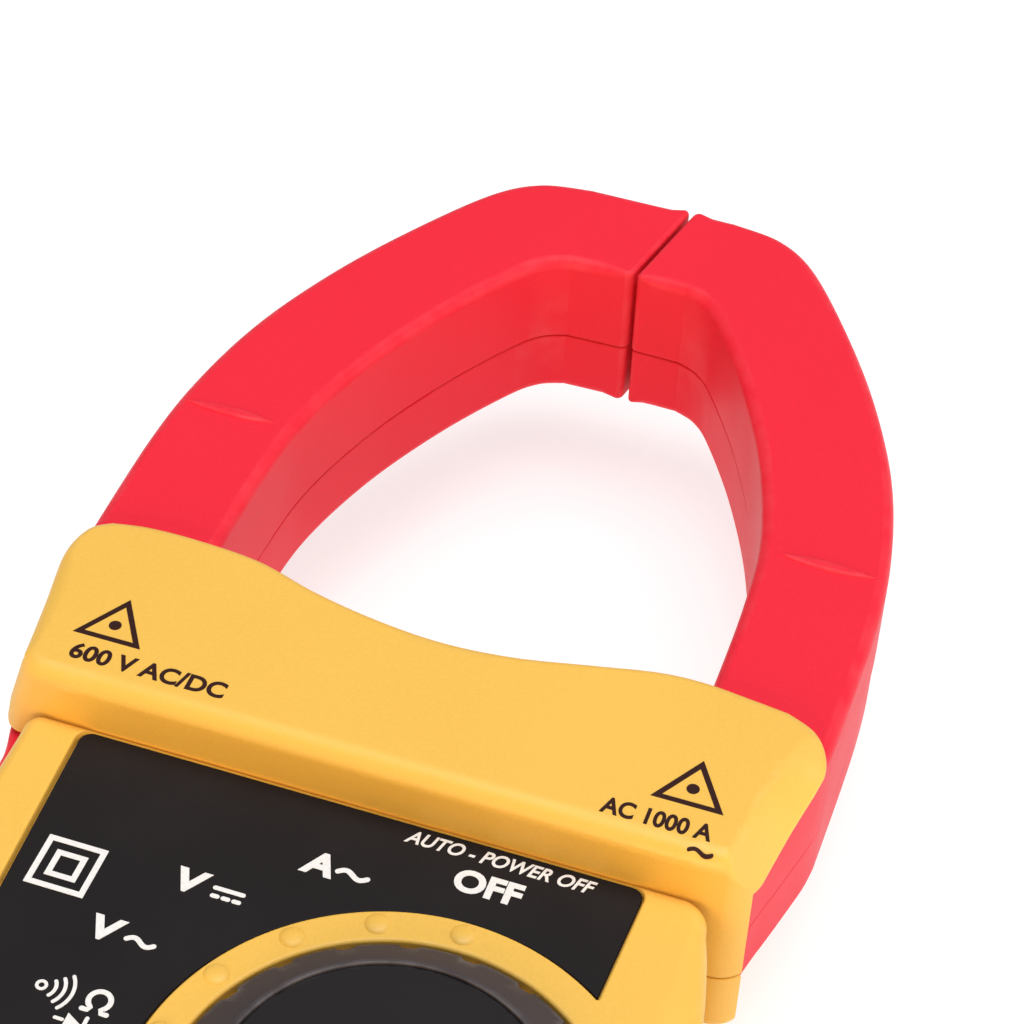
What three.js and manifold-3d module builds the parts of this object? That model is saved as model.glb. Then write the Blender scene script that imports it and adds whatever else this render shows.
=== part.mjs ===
// Clamp meter: a hand-held current clamp with a rotary function dial.
// Frame: +X right, +Y towards the jaws, +Z out of the front panel, millimetres.
// Origin: on the flat back, on the jaws' centre line, level with the dial's axis.

import * as THREE from 'three';
import { mergeVertices } from 'three/addons/utils/BufferGeometryUtils.js';
import Module from 'manifold-3d';

const wasm = await Module();
wasm.setup();

// ---- driving dimensions ----------------------------------------------------

const PART_Z = 22.5;          // split between the rear and the front case
const CASE_Z = 36.8;          // front face of the case around the label
const LABEL_Z = 36;           // front face of the black label plate
const LABEL_THICK = 0.5;
const HEAD_Z = 44.2;          // front face of the head
const HEAD_BACK_Z = 12;       // rear face of the head
const HEAD_LOW_Y = 42.4;      // wall under the head, which guards the hand
const GUARD_WALL = 2.6;
const GUARD_TOP_Y = 44.6;     // the guard wall's inner side, right of the fixed jaw
const REAR_PLATE_X = 44.5;    // the head's back plate ends here on the right
const WALL = 2.4;
const FIT = 0.35;             // clearance between neighbouring pieces
const FOOT_Y = -88;
const FOOT_HALF = 38.4;       // half the width of the foot
const FOOT_CORNER_R = 11;
const CASE_RIM = 1.8;         // round of the front case's front edge
const REAR_RIM = 4;           // round of the rear case's back edge
const HEAD_RIM = 2.6;
const HEAD_BACK_RIM = 2.2;

const JAW_FRONT_Z = 42.6;
const JAW_BACK_Z = 18.4;
const SEAM_Z = 28.6;          // seam between the jaws' front and rear shells
const SEAM_GAP = 0.3;
const JAW_WALL = 2.2;
const CORE_INSET = 5.2;
const JAW_TOP_Y = 161;
const WINDOW_TOP_Y = 143.4;
const TIP_OUTER_X = 4.6;      // the slanted split between the tips
const TIP_INNER_X = 0.7;
const TIP_GAP = 0.6;
const MARK_X = 41.4;          // raised marks that show where the conductor sits best
const MARK_Y = 96;
const MARK_HALF = 6.6;
const JAW_RIM = 1.6;
const CORE_Z0 = 24;
const CORE_Z1 = 37;

const PIVOT = new THREE.Vector2(-31, 57);
const JAW_SWING = THREE.MathUtils.degToRad(26);
const PIN_R = 3;
const ROOT_R = 11.5;          // round root of the moving jaw about its pivot
const BOSS_R = 5;
const SPRING_WELL_R = 9.5;
const SPRING_WELL_Z = 38.5;

const LEVER_Z0 = 20.8;
const LEVER_Z1 = 30.4;
const LEVER_HEEL_R = 9;

const DIAL = new THREE.Vector2(16, 0);
const RING_R = 29.8;          // raised yellow ring around the dial
const WELL_R = 25.4;
const WELL_Z = 34.8;
const DIAL_R = 25;
const DIAL_NOTCHES = 21;
const NOTCH_DEPTH = 0.8;
const DIAL_TOP_R = 19.2;
const DIAL_TOP_Z = 41;
const CAP_R = 18;
const HUB_R = 7.6;
const KNOB_Z0 = 33.3;         // inner end of the knob's hub
const CAP_FLOOR_Z = 38.4;     // floor of the knob's dish, on which the cap lies
const STOPS = 5;
const STOP_STEP = THREE.MathUtils.degToRad(20.8);
const FIRST_STOP = THREE.MathUtils.degToRad(90.5);
const REST_ANGLE = FIRST_STOP + (STOPS - 1) * STOP_STEP;

const LABEL_X = -2.5;         // centre line of the label plate
const LABEL_HALF = 36;
const LABEL_TAPER = 0.04;
const LABEL_FOOT_Y = -82;
const LABEL_CORNER = 2.4;

const LCD_Y = -58;
const LCD_SIZE = [52, 24];
const BUTTON_Y = -38.2;
const BUTTON_X = [-23.5, -2.5, 18.5];
const BUTTON_SIZE = [12, 6.6];
const BUTTON_TOP_Z = 37.3;

const PCB_Z0 = 29.4;
const PCB_Z1 = 31;
const CAVITY_TOP_Z = 33.4;

const JACK_X = [-13, 13];
const JACK_R = 7;
const JACK_BORE_R = 4.7;
const JACK_LENGTH = 20;
const JACK_Z = PART_Z;

const BATTERY = { x: -2, y: -53, z: 3.6, size: [48.5, 26.5, 17.5] };
const DOOR_SIZE = [62, 40];
const DOOR_Y = -51;
const DOOR_THICK = 2.2;
const LEDGE_Z = 4.4;
const DOOR_SCREW = new THREE.Vector2(0, DOOR_Y + 16.4);

const CASE_SCREWS = [[-7, 56], [9, 56], [-30, -77], [30, -77]];
const SCREW_R = 1.5;
const SCREW_HEAD_R = 2.9;
const SCREW_END_Z = 29;       // ends of the case screws in the body and in the head
const HEAD_SCREW_END_Z = 36;
const POST_R = 4.4;

// The pocket that the trigger lever sinks into, on the left of the body.
const POCKET = { x: -27.3, y: 4, z0: 19.2, z1: 31.4, wall: 2.2 };

// ---- finishes --------------------------------------------------------------

const finish = (color, roughness, metalness = 0) =>
  new THREE.MeshStandardMaterial({ color, roughness, metalness });

const YELLOW = finish(0xf5b440, 0.42);
const RED = finish(0xe62b3a, 0.36);
const BLACK = finish(0x232023, 0.5);
const LABEL = finish(0x2b272a, 0.55);
const RUBBER = finish(0x3a3a3c, 0.8);
const CLEAR = finish(0xc9d2cf, 0.08);
const GLASS = finish(0x9aa894, 0.2);
const BOARD = finish(0x1f6b3c, 0.5);
const STEEL = finish(0xb9bcc0, 0.3, 1);
const BRASS = finish(0xc9a24a, 0.3, 1);
const IRON = finish(0x6b6e73, 0.5, 0.9);
const COPPER = finish(0xb56a3c, 0.4, 0.8);
const GREY = finish(0x7b7e83, 0.6);

// ---- outline helpers -------------------------------------------------------

const vec = (x, y) => new THREE.Vector2(x, y);
const polar = (centre, radius, angle) =>
  vec(centre.x + radius * Math.cos(angle), centre.y + radius * Math.sin(angle));
const mirror = (points) => points.map((p) => vec(-p.x, p.y)).reverse();
const smooth = (pairs, count) =>
  new THREE.SplineCurve(pairs.map(([x, y]) => vec(x, y))).getPoints(count);

function arc(centre, radius, from, to, count) {
  const points = [];
  for (let i = 0; i <= count; i += 1) {
    points.push(polar(centre, radius, from + ((to - from) * i) / count));
  }
  return points;
}

function roundedRect(x, y, width, height, radius, count = 3) {
  const cx = width / 2 - radius;
  const cy = height / 2 - radius;
  const quarter = Math.PI / 2;
  return [[1, 1], [-1, 1], [-1, -1], [1, -1]].flatMap(([sx, sy], i) =>
    arc(vec(x + sx * cx, y + sy * cy), radius, i * quarter, (i + 1) * quarter, count));
}

const circle = (centre, radius, count = 24) => arc(centre, radius, 0, 2 * Math.PI, count).slice(0, -1);
const rect = (x0, x1, y0, y1) => [vec(x0, y0), vec(x1, y0), vec(x1, y1), vec(x0, y1)];

// Moves each corner of an anticlockwise outline inwards, square to its two edges.
function inset(points, distance) {
  return points.map((p, i) => {
    const before = points[(i + points.length - 1) % points.length];
    const after = points[(i + 1) % points.length];
    const a = p.clone().sub(before).normalize();
    const b = after.clone().sub(p).normalize();
    const normal = vec(-a.y - b.y, a.x + b.x).normalize();
    const spread = Math.max(0.5, -normal.x * a.y + normal.y * a.x);
    return p.clone().addScaledVector(normal, distance / spread);
  });
}

// ---- solid helpers ---------------------------------------------------------

function solid(geometry) {
  const bare = geometry.clone();
  bare.deleteAttribute('normal');
  bare.deleteAttribute('uv');
  const merged = mergeVertices(bare, 1e-4);
  return new wasm.Manifold(new wasm.Mesh({
    numProp: 3,
    vertProperties: new Float32Array(merged.attributes.position.array),
    triVerts: new Uint32Array(merged.index.array),
  }));
}

function geometryOf(manifold) {
  const mesh = manifold.getMesh();
  const geometry = new THREE.BufferGeometry();
  geometry.setAttribute('position', new THREE.BufferAttribute(mesh.vertProperties, 3));
  geometry.setIndex(new THREE.BufferAttribute(mesh.triVerts, 1));
  geometry.computeVertexNormals();
  return geometry;
}

function prism(points, z0, z1) {
  const geometry = new THREE.ExtrudeGeometry(new THREE.Shape(points), {
    depth: z1 - z0, bevelEnabled: false,
  });
  return solid(geometry.translate(0, 0, z0));
}

const box = (x0, x1, y0, y1, z0, z1) => prism(rect(x0, x1, y0, y1), z0, z1);
const cylinder = (centre, radius, z0, z1, count) => prism(circle(centre, radius, count), z0, z1);

// A prism with one end's rim rounded: the top for a positive radius, the bottom for a negative one.
function roundedPrism(points, z0, z1, radius, segments = 2) {
  const r = Math.abs(radius);
  const low = radius > 0 ? z0 - 2 * r : z0;
  const high = radius > 0 ? z1 : z1 + 2 * r;
  const geometry = new THREE.ExtrudeGeometry(new THREE.Shape(points), {
    depth: high - low - 2 * r,
    bevelThickness: r,
    bevelSize: r,
    bevelOffset: -r,
    bevelSegments: segments,
  });
  const whole = solid(geometry.translate(0, 0, low + r));
  return whole.intersect(box(-300, 300, -300, 300, z0, z1));
}

function lathe(profile, centre, segments = 32) {
  const geometry = new THREE.LatheGeometry(profile.map(([r, z]) => vec(r, z)), segments);
  geometry.rotateX(Math.PI / 2);
  return solid(geometry.translate(centre.x, centre.y, 0));
}

const join = (...solids) => solids.reduce((a, b) => a.add(b));
const cut = (body, ...tools) => tools.reduce((a, b) => a.subtract(b), body);

// ---- outlines --------------------------------------------------------------

function bodyOutline() {
  const right = smooth([
    [FOOT_HALF, -74], [41, -55], [44.8, -30], [47.4, -8], [47.4, 10], [45.3, 26], [43.4, 34.5], [42, 39],
  ], 15);
  const left = smooth([
    [-46, 38.6], [-46, 16], [-45.6, -4], [-43.6, -32], [-41, -55], [-FOOT_HALF, -74],
  ], 8);
  return [
    ...arc(vec(FOOT_HALF - FOOT_CORNER_R, FOOT_Y + FOOT_CORNER_R), FOOT_CORNER_R, -Math.PI / 2, 0, 5),
    ...right,
    vec(41, 41.3), vec(39.2, HEAD_LOW_Y), vec(39.2, HEAD_LOW_Y + 2),
    vec(-43, HEAD_LOW_Y + 2), vec(-43, HEAD_LOW_Y), vec(-45.1, 41.2),
    ...left,
    ...arc(vec(FOOT_CORNER_R - FOOT_HALF, FOOT_Y + FOOT_CORNER_R), FOOT_CORNER_R, Math.PI, 1.5 * Math.PI, 5),
  ];
}

function headOutline() {
  const shoulder = 5.2;
  const saddle = smooth([
    [31.5, 71.1], [26.5, 70.7], [18, 68.1], [9, 66.2], [0, 65.6],
    [-9, 66.2], [-18, 68.1], [-26.5, 70.7], [-31.5, 71.1],
  ], 16);
  return [
    vec(-43, HEAD_LOW_Y), vec(40, HEAD_LOW_Y), vec(46.4, 43.8), vec(48.6, 54),
    ...arc(vec(50.3 - shoulder, 69.6 - shoulder), shoulder, 0, Math.PI / 2, 5),
    ...saddle,
    ...arc(vec(shoulder - 50.3, 69.6 - shoulder), shoulder, Math.PI / 2, Math.PI, 5),
    vec(-50.4, 54), vec(-50.2, 43.8),
  ];
}

const jawOuter = smooth([
  [49.8, 66], [49.9, 88], [48.4, 102], [44.8, 116], [38.8, 130], [31.6, 143],
  [23.6, 154.4], [17.5, 159.2], [11, JAW_TOP_Y],
], 17);
const jawInner = smooth([
  [8.5, 143.2], [11.8, 141.6], [15.2, 137.5], [21.6, 126.5], [27.6, 113], [31.6, 99],
  [32.8, 86], [33, 70],
], 15);

// The curved part of each jaw, from the head to the tip.
function fixedBand() {
  const gap = TIP_GAP / 2;
  return [
    ...jawOuter,
    vec(TIP_OUTER_X + gap, JAW_TOP_Y), vec(TIP_INNER_X + gap, WINDOW_TOP_Y),
    ...jawInner,
  ];
}

function movingBand() {
  const gap = TIP_GAP / 2;
  return [
    ...mirror(jawInner),
    vec(TIP_INNER_X - gap, WINDOW_TOP_Y), vec(TIP_OUTER_X - gap, JAW_TOP_Y),
    ...mirror(jawOuter),
  ];
}

const fixedJawOutline = () => [
  vec(21, 46), vec(45.4, 46), vec(48, 51.4), vec(49.6, 58),
  ...fixedBand(),
  vec(33, 63), vec(24, 60), vec(21, 56),
];

// The moving jaw's root is round about the pivot, and cut back where it would meet the guard wall.
const movingJawOutline = () => [
  ...arc(PIVOT, ROOT_R, -Math.PI / 2 - JAW_SWING, 0.55 * Math.PI, 16),
  ...movingBand(),
  vec(-50, 56.5), vec(-49.6, 53.6),
];

function leverOutline() {
  const outer = smooth([
    [-44, 60], [-49.2, 53], [-50.4, 46], [-48.9, 38.8], [-50.2, 30], [-53.6, 20], [-55.2, 13.6],
  ], 16);
  const inner = smooth([
    [-50.6, 10.4], [-48.6, 15], [-46.8, 24], [-43.6, 32], [-41, 39], [-37.6, 46],
  ], 12);
  const heel = arc(PIVOT, LEVER_HEEL_R, -0.65 * Math.PI, 0.8 * Math.PI, 14);
  return [...heel, ...outer, vec(-53.8, 10.2), ...inner];
}

const body = bodyOutline();
const head = headOutline();

// ---- case ------------------------------------------------------------------

const labelEdge = (y) => LABEL_HALF - LABEL_TAPER * (HEAD_LOW_Y - y);

function labelOutline(margin) {
  const top = HEAD_LOW_Y - 0.5 - margin;
  const foot = LABEL_FOOT_Y + margin;
  const wide = labelEdge(top) - margin;
  const slim = labelEdge(foot) - margin;
  const corner = LABEL_CORNER;
  return [
    vec(LABEL_X - slim + corner, foot), vec(LABEL_X + slim - corner, foot),
    vec(LABEL_X + slim, foot + corner),
    vec(LABEL_X + wide, top - corner), vec(LABEL_X + wide - corner, top),
    vec(LABEL_X - wide + corner, top), vec(LABEL_X - wide, top - corner),
    vec(LABEL_X - slim, foot + corner),
  ];
}

// Everything that the moving jaw and its lever sweep through inside the head and the body.
function movingBay() {
  const z0 = JAW_BACK_Z - FIT;
  const z1 = JAW_FRONT_Z + FIT;
  const y0 = HEAD_LOW_Y + GUARD_WALL;
  const swing = cylinder(PIVOT, ROOT_R + 0.5, z0, z1);
  const side = prism([
    vec(-70, y0), vec(PIVOT.x, y0), vec(PIVOT.x, 66), vec(-31.8, 70), vec(-31.8, 90), vec(-70, 90),
  ], z0, z1);
  return join(swing, side);
}

const pocketHole = () => box(-70, POCKET.x, POCKET.y, HEAD_LOW_Y + GUARD_WALL + 1, POCKET.z0, POCKET.z1);

function pocketBlock() {
  const { x, y, z0, z1, wall } = POCKET;
  return box(-70, x + wall, y - wall, HEAD_LOW_Y + 3, z0 - wall, z1 + wall);
}

const fixedBay = () => join(
  prism(inset(fixedJawOutline(), -FIT), JAW_BACK_Z - FIT, JAW_FRONT_Z + FIT),
  box(46, 70, GUARD_TOP_Y, 90, JAW_BACK_Z - FIT, JAW_FRONT_Z + FIT),
);

// The hollow middle of the head, and the way for its wires through the guard wall.
const headHollow = () => join(
  box(-15, 17, HEAD_LOW_Y + GUARD_WALL, 63, JAW_BACK_Z + 1, HEAD_Z - WALL),
  box(-15, 17, HEAD_LOW_Y - 3, HEAD_LOW_Y + GUARD_WALL + 1, JAW_BACK_Z + 1, CAVITY_TOP_Z),
);

function screwPosts() {
  return join(...CASE_SCREWS.map(([x, y]) => cylinder(vec(x, y), POST_R, 0, HEAD_Z - 1, 20)));
}

function screwHoles() {
  return join(...CASE_SCREWS.map(([x, y]) => {
    const back = y > HEAD_LOW_Y ? HEAD_BACK_Z : 0;
    const end = (y > HEAD_LOW_Y ? HEAD_SCREW_END_Z : SCREW_END_Z) + 1;
    return join(
      cylinder(vec(x, y), SCREW_R + FIT, back - 1, end, 16),
      cylinder(vec(x, y), SCREW_HEAD_R + FIT, back - 1, back + 3, 20),
    );
  }));
}

const jackAxis = (x) => new THREE.Vector3(x, 0, JACK_Z);

function alongY(radius, y0, y1, centre, count = 28) {
  const geometry = new THREE.CylinderGeometry(radius, radius, y1 - y0, count);
  return solid(geometry.translate(centre.x, (y0 + y1) / 2, centre.z));
}

const jackHoles = () => join(...JACK_X.map((x) =>
  alongY(JACK_R + FIT, FOOT_Y - 1, FOOT_Y + JACK_LENGTH + 1, jackAxis(x))));

function frontCase() {
  const shell = join(
    roundedPrism(body, PART_Z, CASE_Z, CASE_RIM),
    roundedPrism(head, PART_Z, HEAD_Z, HEAD_RIM, 3),
  );
  const inner = cut(
    prism(inset(body, WALL), PART_Z - 1, CAVITY_TOP_Z),
    pocketBlock(), screwPosts(),
    box(-60, 60, HEAD_LOW_Y - 0.1, 60, 0, 60),
  );
  // The left flank of the head slopes out towards the lever.
  const flank = new THREE.BoxGeometry(20, 60, 40);
  flank.translate(-10, 0, 0);
  flank.rotateY(THREE.MathUtils.degToRad(15));
  flank.rotateZ(THREE.MathUtils.degToRad(10.5));
  const flankCut = solid(flank.translate(-46.6, 44, HEAD_Z));
  const windowHole = prism(roundedRect(LABEL_X, LCD_Y, LCD_SIZE[0], LCD_SIZE[1], 2), 30, 40);
  const [width, height] = BUTTON_SIZE.map((size) => size + 2 * FIT);
  const buttonHoles = BUTTON_X.map((x) => prism(roundedRect(x, BUTTON_Y, width, height, 3), 30, 40));
  const labelRecess = cut(
    prism(labelOutline(0), LABEL_Z - LABEL_THICK - 0.2, 50)
      .intersect(box(-60, 60, -100, HEAD_LOW_Y, 30, 50)),
    cylinder(DIAL, RING_R, 30, 60, 56),
  );
  const boss = cut(
    cylinder(PIVOT, BOSS_R, SPRING_WELL_Z + FIT, HEAD_Z - 1),
    cylinder(PIVOT, PIN_R + 0.1, 30, HEAD_Z - 1.2),
  );
  const hollowed = cut(
    shell, inner, flankCut, windowHole, ...buttonHoles, labelRecess,
    cylinder(DIAL, WELL_R, WELL_Z, 50, 48), cylinder(DIAL, HUB_R + FIT, 30, 50),
    cut(headHollow(), screwPosts()), movingBay(), fixedBay(), pocketHole(), screwHoles(), jackHoles(),
  );
  return join(hollowed, boss, ...stopDots());
}

// Low round dots on the ring, one at each position of the dial.
function stopDots() {
  return Array.from({ length: STOPS }, (_, i) => {
    const centre = polar(DIAL, (RING_R + WELL_R) / 2 + 0.2, FIRST_STOP + i * STOP_STEP);
    const profile = [[0, CASE_Z - 0.4], [1.5, CASE_Z - 0.4], [1.3, CASE_Z + 0.25], [0, CASE_Z + 0.45]];
    return lathe(profile, centre, 12);
  });
}

function rearCase() {
  const shell = join(
    roundedPrism(body, 0, PART_Z - FIT, -REAR_RIM, 3),
    roundedPrism(head, HEAD_BACK_Z, PART_Z - FIT, -HEAD_BACK_RIM),
  );
  const inner = cut(
    prism(inset(body, WALL), WALL, PART_Z + 1),
    pocketBlock(), screwPosts(),
    box(-60, 60, HEAD_LOW_Y - 0.1, 60, 0, 60),
  );
  // The door lies in a recess on a ledge, which carries the post for its screw.
  const ledge = prism(roundedRect(0, DOOR_Y, DOOR_SIZE[0] + 4, DOOR_SIZE[1] + 4, 4), 1, LEDGE_Z);
  const doorway = join(
    prism(roundedRect(0, DOOR_Y, DOOR_SIZE[0], DOOR_SIZE[1], 3), -1, DOOR_THICK + FIT),
    box(-28, 28, DOOR_Y - 16.4, DOOR_Y + 13, -1, LEDGE_Z + 1),
    cylinder(DOOR_SCREW, 1.5, -1, 9, 16),
  );
  const latchPost = cylinder(DOOR_SCREW, 3.4, 1, 10);
  const boss = cut(
    cylinder(PIVOT, BOSS_R, HEAD_BACK_Z + 0.5, JAW_BACK_Z + 1.8),
    cylinder(PIVOT, PIN_R + 0.1, HEAD_BACK_Z + 1, 40),
  );
  const pinHole = cylinder(PIVOT, PIN_R + 0.1, HEAD_BACK_Z + 1, 40);
  // The back plate stops short of the fixed jaw's side, which is open to the right.
  const openBack = box(REAR_PLATE_X, 70, GUARD_TOP_Y, 90, HEAD_BACK_Z - 1, JAW_BACK_Z);
  return cut(
    join(cut(shell, inner), ledge, latchPost),
    doorway, pinHole, openBack, cut(headHollow(), screwPosts()), movingBay(), fixedBay(), pocketHole(),
    screwHoles(), jackHoles(),
  ).add(boss);
}

// ---- jaws ------------------------------------------------------------------

// The channel inside a jaw that holds its core and coil.
function jawChannel(band) {
  return prism(inset(band, JAW_WALL), JAW_BACK_Z + JAW_WALL, JAW_FRONT_Z - JAW_WALL);
}

// A long thin lens standing a little proud of the jaw's front face.
function jawMark(side) {
  const [start, end, bow] = [vec(-MARK_HALF, 0), vec(MARK_HALF, 0), 1.6];
  const points = [
    ...new THREE.QuadraticBezierCurve(start, vec(0, -bow), end).getPoints(6),
    ...new THREE.QuadraticBezierCurve(end, vec(0, bow), start).getPoints(6).slice(1, -1),
  ].map((p) => vec(side * MARK_X + p.x, MARK_Y + p.y));
  return prism(points, JAW_FRONT_Z - 0.5, JAW_FRONT_Z + 0.35);
}

const leverPocket = () => prism(inset(leverOutline(), -0.3), LEVER_Z0 - 0.3, LEVER_Z1 + 0.3);
const pinBore = () => cylinder(PIVOT, PIN_R + 0.15, 0, 60);

const fixedScrews = [[28, 52], [40, 52]];
const fixedScrewHoles = () => join(...fixedScrews.map(([x, y]) => join(
  cylinder(vec(x, y), SCREW_R + FIT, 0, 38, 16),
  cylinder(vec(x, y), SCREW_HEAD_R + FIT, 0, 21.4, 20),
)));

function jawShells(outline, band, side) {
  const front = roundedPrism(outline, SEAM_Z + SEAM_GAP / 2, JAW_FRONT_Z, JAW_RIM);
  const rear = roundedPrism(outline, JAW_BACK_Z, SEAM_Z - SEAM_GAP / 2, -JAW_RIM);
  const channel = jawChannel(band);
  return { front: cut(join(front, jawMark(side)), channel), rear: cut(rear, channel) };
}

const fixed = jawShells(fixedJawOutline(), fixedBand(), 1);
const moving = jawShells(movingJawOutline(), movingBand(), -1);
const springWell = cylinder(PIVOT, SPRING_WELL_R, SPRING_WELL_Z, 60);
const rearWell = cylinder(PIVOT, BOSS_R + 0.6, 0, JAW_BACK_Z + 2);

// The core is a stack of laminations; the coil is wound round its straight leg.
const jawCore = (band) => prism(inset(band, CORE_INSET), CORE_Z0, CORE_Z1);

function jawCoil(side) {
  const wind = 1.9;
  const [low, high] = side > 0 ? [35.8, 47] : [-47, -35.8];
  const leg = box(low + wind, high - wind, 60, 100, CORE_Z0 - 0.4, CORE_Z1 + 0.4);
  return cut(box(low, high, 72, 85, CORE_Z0 - 2.8, CORE_Z1 + 2.8), leg);
}

function helix(centre, radius, wire, z0, pitch, turns) {
  const steps = Math.round(turns * 14);
  const points = Array.from({ length: steps + 1 }, (_, i) => {
    const p = polar(centre, radius, (2 * Math.PI * turns * i) / steps);
    return new THREE.Vector3(p.x, p.y, z0 + (pitch * turns * i) / steps);
  });
  const geometry = new THREE.ExtrudeGeometry(new THREE.Shape(circle(vec(0, 0), wire, 6)), {
    steps, extrudePath: new THREE.CatmullRomCurve3(points),
  });
  return solid(geometry);
}

// ---- dial ------------------------------------------------------------------

function dialOutline() {
  const step = (2 * Math.PI) / DIAL_NOTCHES;
  const half = 0.17;
  return Array.from({ length: DIAL_NOTCHES }, (_, i) => i * step).flatMap((a) => [
    polar(DIAL, DIAL_R, a - 0.5 * step), polar(DIAL, DIAL_R, a - half * step),
    polar(DIAL, DIAL_R - NOTCH_DEPTH, a), polar(DIAL, DIAL_R, a + half * step),
  ]);
}

function dialKnob() {
  const profile = [
    [0, KNOB_Z0], [HUB_R, KNOB_Z0], [HUB_R, WELL_Z + FIT], [DIAL_R + 1, WELL_Z + FIT], [DIAL_R + 1, 36.6],
    [DIAL_TOP_R + 0.9, DIAL_TOP_Z - 0.3], [DIAL_TOP_R, DIAL_TOP_Z], [CAP_R + 0.35, DIAL_TOP_Z - 0.2],
    [CAP_R + 0.35, CAP_FLOOR_Z], [0, CAP_FLOOR_Z],
  ];
  return lathe(profile, DIAL, 42).intersect(prism(dialOutline(), KNOB_Z0, DIAL_TOP_Z + 1));
}

function dialCap() {
  const plate = cylinder(DIAL, CAP_R, CAP_FLOOR_Z + 0.3, DIAL_TOP_Z - 0.7, 42);
  const bar = roundedPrism(roundedRect(0, 0, 29, 6, 3), 39, DIAL_TOP_Z + 0.6, 0.8);
  return plate.add(bar.rotate([0, 0, THREE.MathUtils.radToDeg(REST_ANGLE)]).translate([DIAL.x, DIAL.y, 0]));
}

// ---- small pieces ----------------------------------------------------------

function button(x) {
  const stem = roundedPrism(roundedRect(x, BUTTON_Y, ...BUTTON_SIZE, 2.8), 32.8, BUTTON_TOP_Z, 0.7);
  return stem.add(prism(roundedRect(x, BUTTON_Y, BUTTON_SIZE[0] + 2, BUTTON_SIZE[1] + 2, 3), 32.4, 33));
}

function screw(x, y, back, end) {
  const shank = cylinder(vec(x, y), SCREW_R, back, end, 16);
  const crown = cylinder(vec(x, y), SCREW_HEAD_R, back, back + 1.8, 24);
  const slots = [0, 90].map((turn) => box(-2, 2, -0.4, 0.4, back - 1, back + 1)
    .rotate([0, 0, turn]).translate([x, y, 0]));
  return cut(crown.add(shank), ...slots);
}

function jackShell(x) {
  const start = FOOT_Y + 0.3;
  const tube = alongY(JACK_R, start, start + JACK_LENGTH, jackAxis(x));
  return cut(
    tube, alongY(JACK_BORE_R, start - 1, start + JACK_LENGTH - 1.6, jackAxis(x)),
    alongY(2.9, start, start + JACK_LENGTH + 1, jackAxis(x)),
  );
}

function jackContact(x) {
  const start = FOOT_Y + 11;
  return cut(
    alongY(2.6, start, start + 10, jackAxis(x), 20),
    alongY(1.9, start - 1, start + 9, jackAxis(x), 20),
  );
}

function mainBoard() {
  const sheet = prism([
    vec(-34, -66), vec(34, -66), vec(39, -30), vec(40, 30), vec(34, 39.5), vec(-24.4, 39.5),
    vec(-24.4, 1.2), vec(-40, 1.2), vec(-38, -30),
  ], PCB_Z0, PCB_Z1);
  return cut(sheet, ...CASE_SCREWS.map(([x, y]) => cylinder(vec(x, y), 5, 0, 60, 20)));
}

function switchRotor() {
  return cut(cylinder(DIAL, 15, 31.9, 33.1), box(DIAL.x - 1.6, DIAL.x + 1.6, 8, 13, 31, 34));
}

function labelPlate() {
  const [width, height] = BUTTON_SIZE.map((size) => size + 0.9);
  return cut(
    prism(labelOutline(0.3), LABEL_Z - LABEL_THICK, LABEL_Z),
    cylinder(DIAL, RING_R + 0.5, 30, 40, 56),
    prism(roundedRect(LABEL_X, LCD_Y, LCD_SIZE[0] + 0.6, LCD_SIZE[1] + 0.6, 2.2), 30, 40),
    ...BUTTON_X.map((x) => prism(roundedRect(x, BUTTON_Y, width, height, 3), 30, 40)),
  );
}

function lcdWindow() {
  const [width, height] = LCD_SIZE.map((size) => size - 0.6);
  return prism(roundedRect(LABEL_X, LCD_Y, width, height, 1.7), CAVITY_TOP_Z + 0.3, LABEL_Z + 0.2);
}

function batteryDoor() {
  const plate = prism(roundedRect(0, DOOR_Y, DOOR_SIZE[0] - 0.7, DOOR_SIZE[1] - 0.7, 2.7), 0, DOOR_THICK);
  const grooves = Array.from({ length: 5 }, (_, i) =>
    box(-14, 14, DOOR_Y - 13 + 3 * i, DOOR_Y - 12 + 3 * i, -1, 0.6));
  return cut(plate, cylinder(DOOR_SCREW, 3.2, -1, 3, 24), ...grooves);
}

function doorScrew() {
  const { x, y } = DOOR_SCREW;
  const shape = cylinder(DOOR_SCREW, 2.8, 0.4, DOOR_THICK, 24).add(cylinder(DOOR_SCREW, 1.2, 0.4, 8, 16));
  return cut(shape, box(x - 2.2, x + 2.2, y - 0.45, y + 0.45, 0, 1.3));
}

function battery() {
  const { x, y, z, size } = BATTERY;
  return prism(roundedRect(x, y, size[0], size[1], 2.5, 3), z, z + size[2]);
}

function batterySnap() {
  const x = BATTERY.x + BATTERY.size[0] / 2 + 0.4;
  return box(x, x + 3, BATTERY.y - 12, BATTERY.y + 12, BATTERY.z + 1, BATTERY.z + 16);
}

// ---- assembly --------------------------------------------------------------

const meter = new THREE.Group();

function add(name, manifold, material) {
  const mesh = new THREE.Mesh(geometryOf(manifold), material);
  mesh.name = name;
  meter.add(mesh);
}

add('front_case', frontCase(), YELLOW);
add('rear_case', rearCase(), YELLOW);
add('label_plate', labelPlate(), LABEL);

add('fixed_jaw_front', cut(fixed.front, fixedScrewHoles()), RED);
add('fixed_jaw_rear', cut(fixed.rear, fixedScrewHoles()), RED);
add('fixed_jaw_core', jawCore(fixedBand()), IRON);
add('fixed_jaw_coil', jawCoil(1), COPPER);
fixedScrews.forEach(([x, y], i) => add(`fixed_jaw_screw_${i + 1}`, screw(x, y, 19, 37), STEEL));

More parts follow.
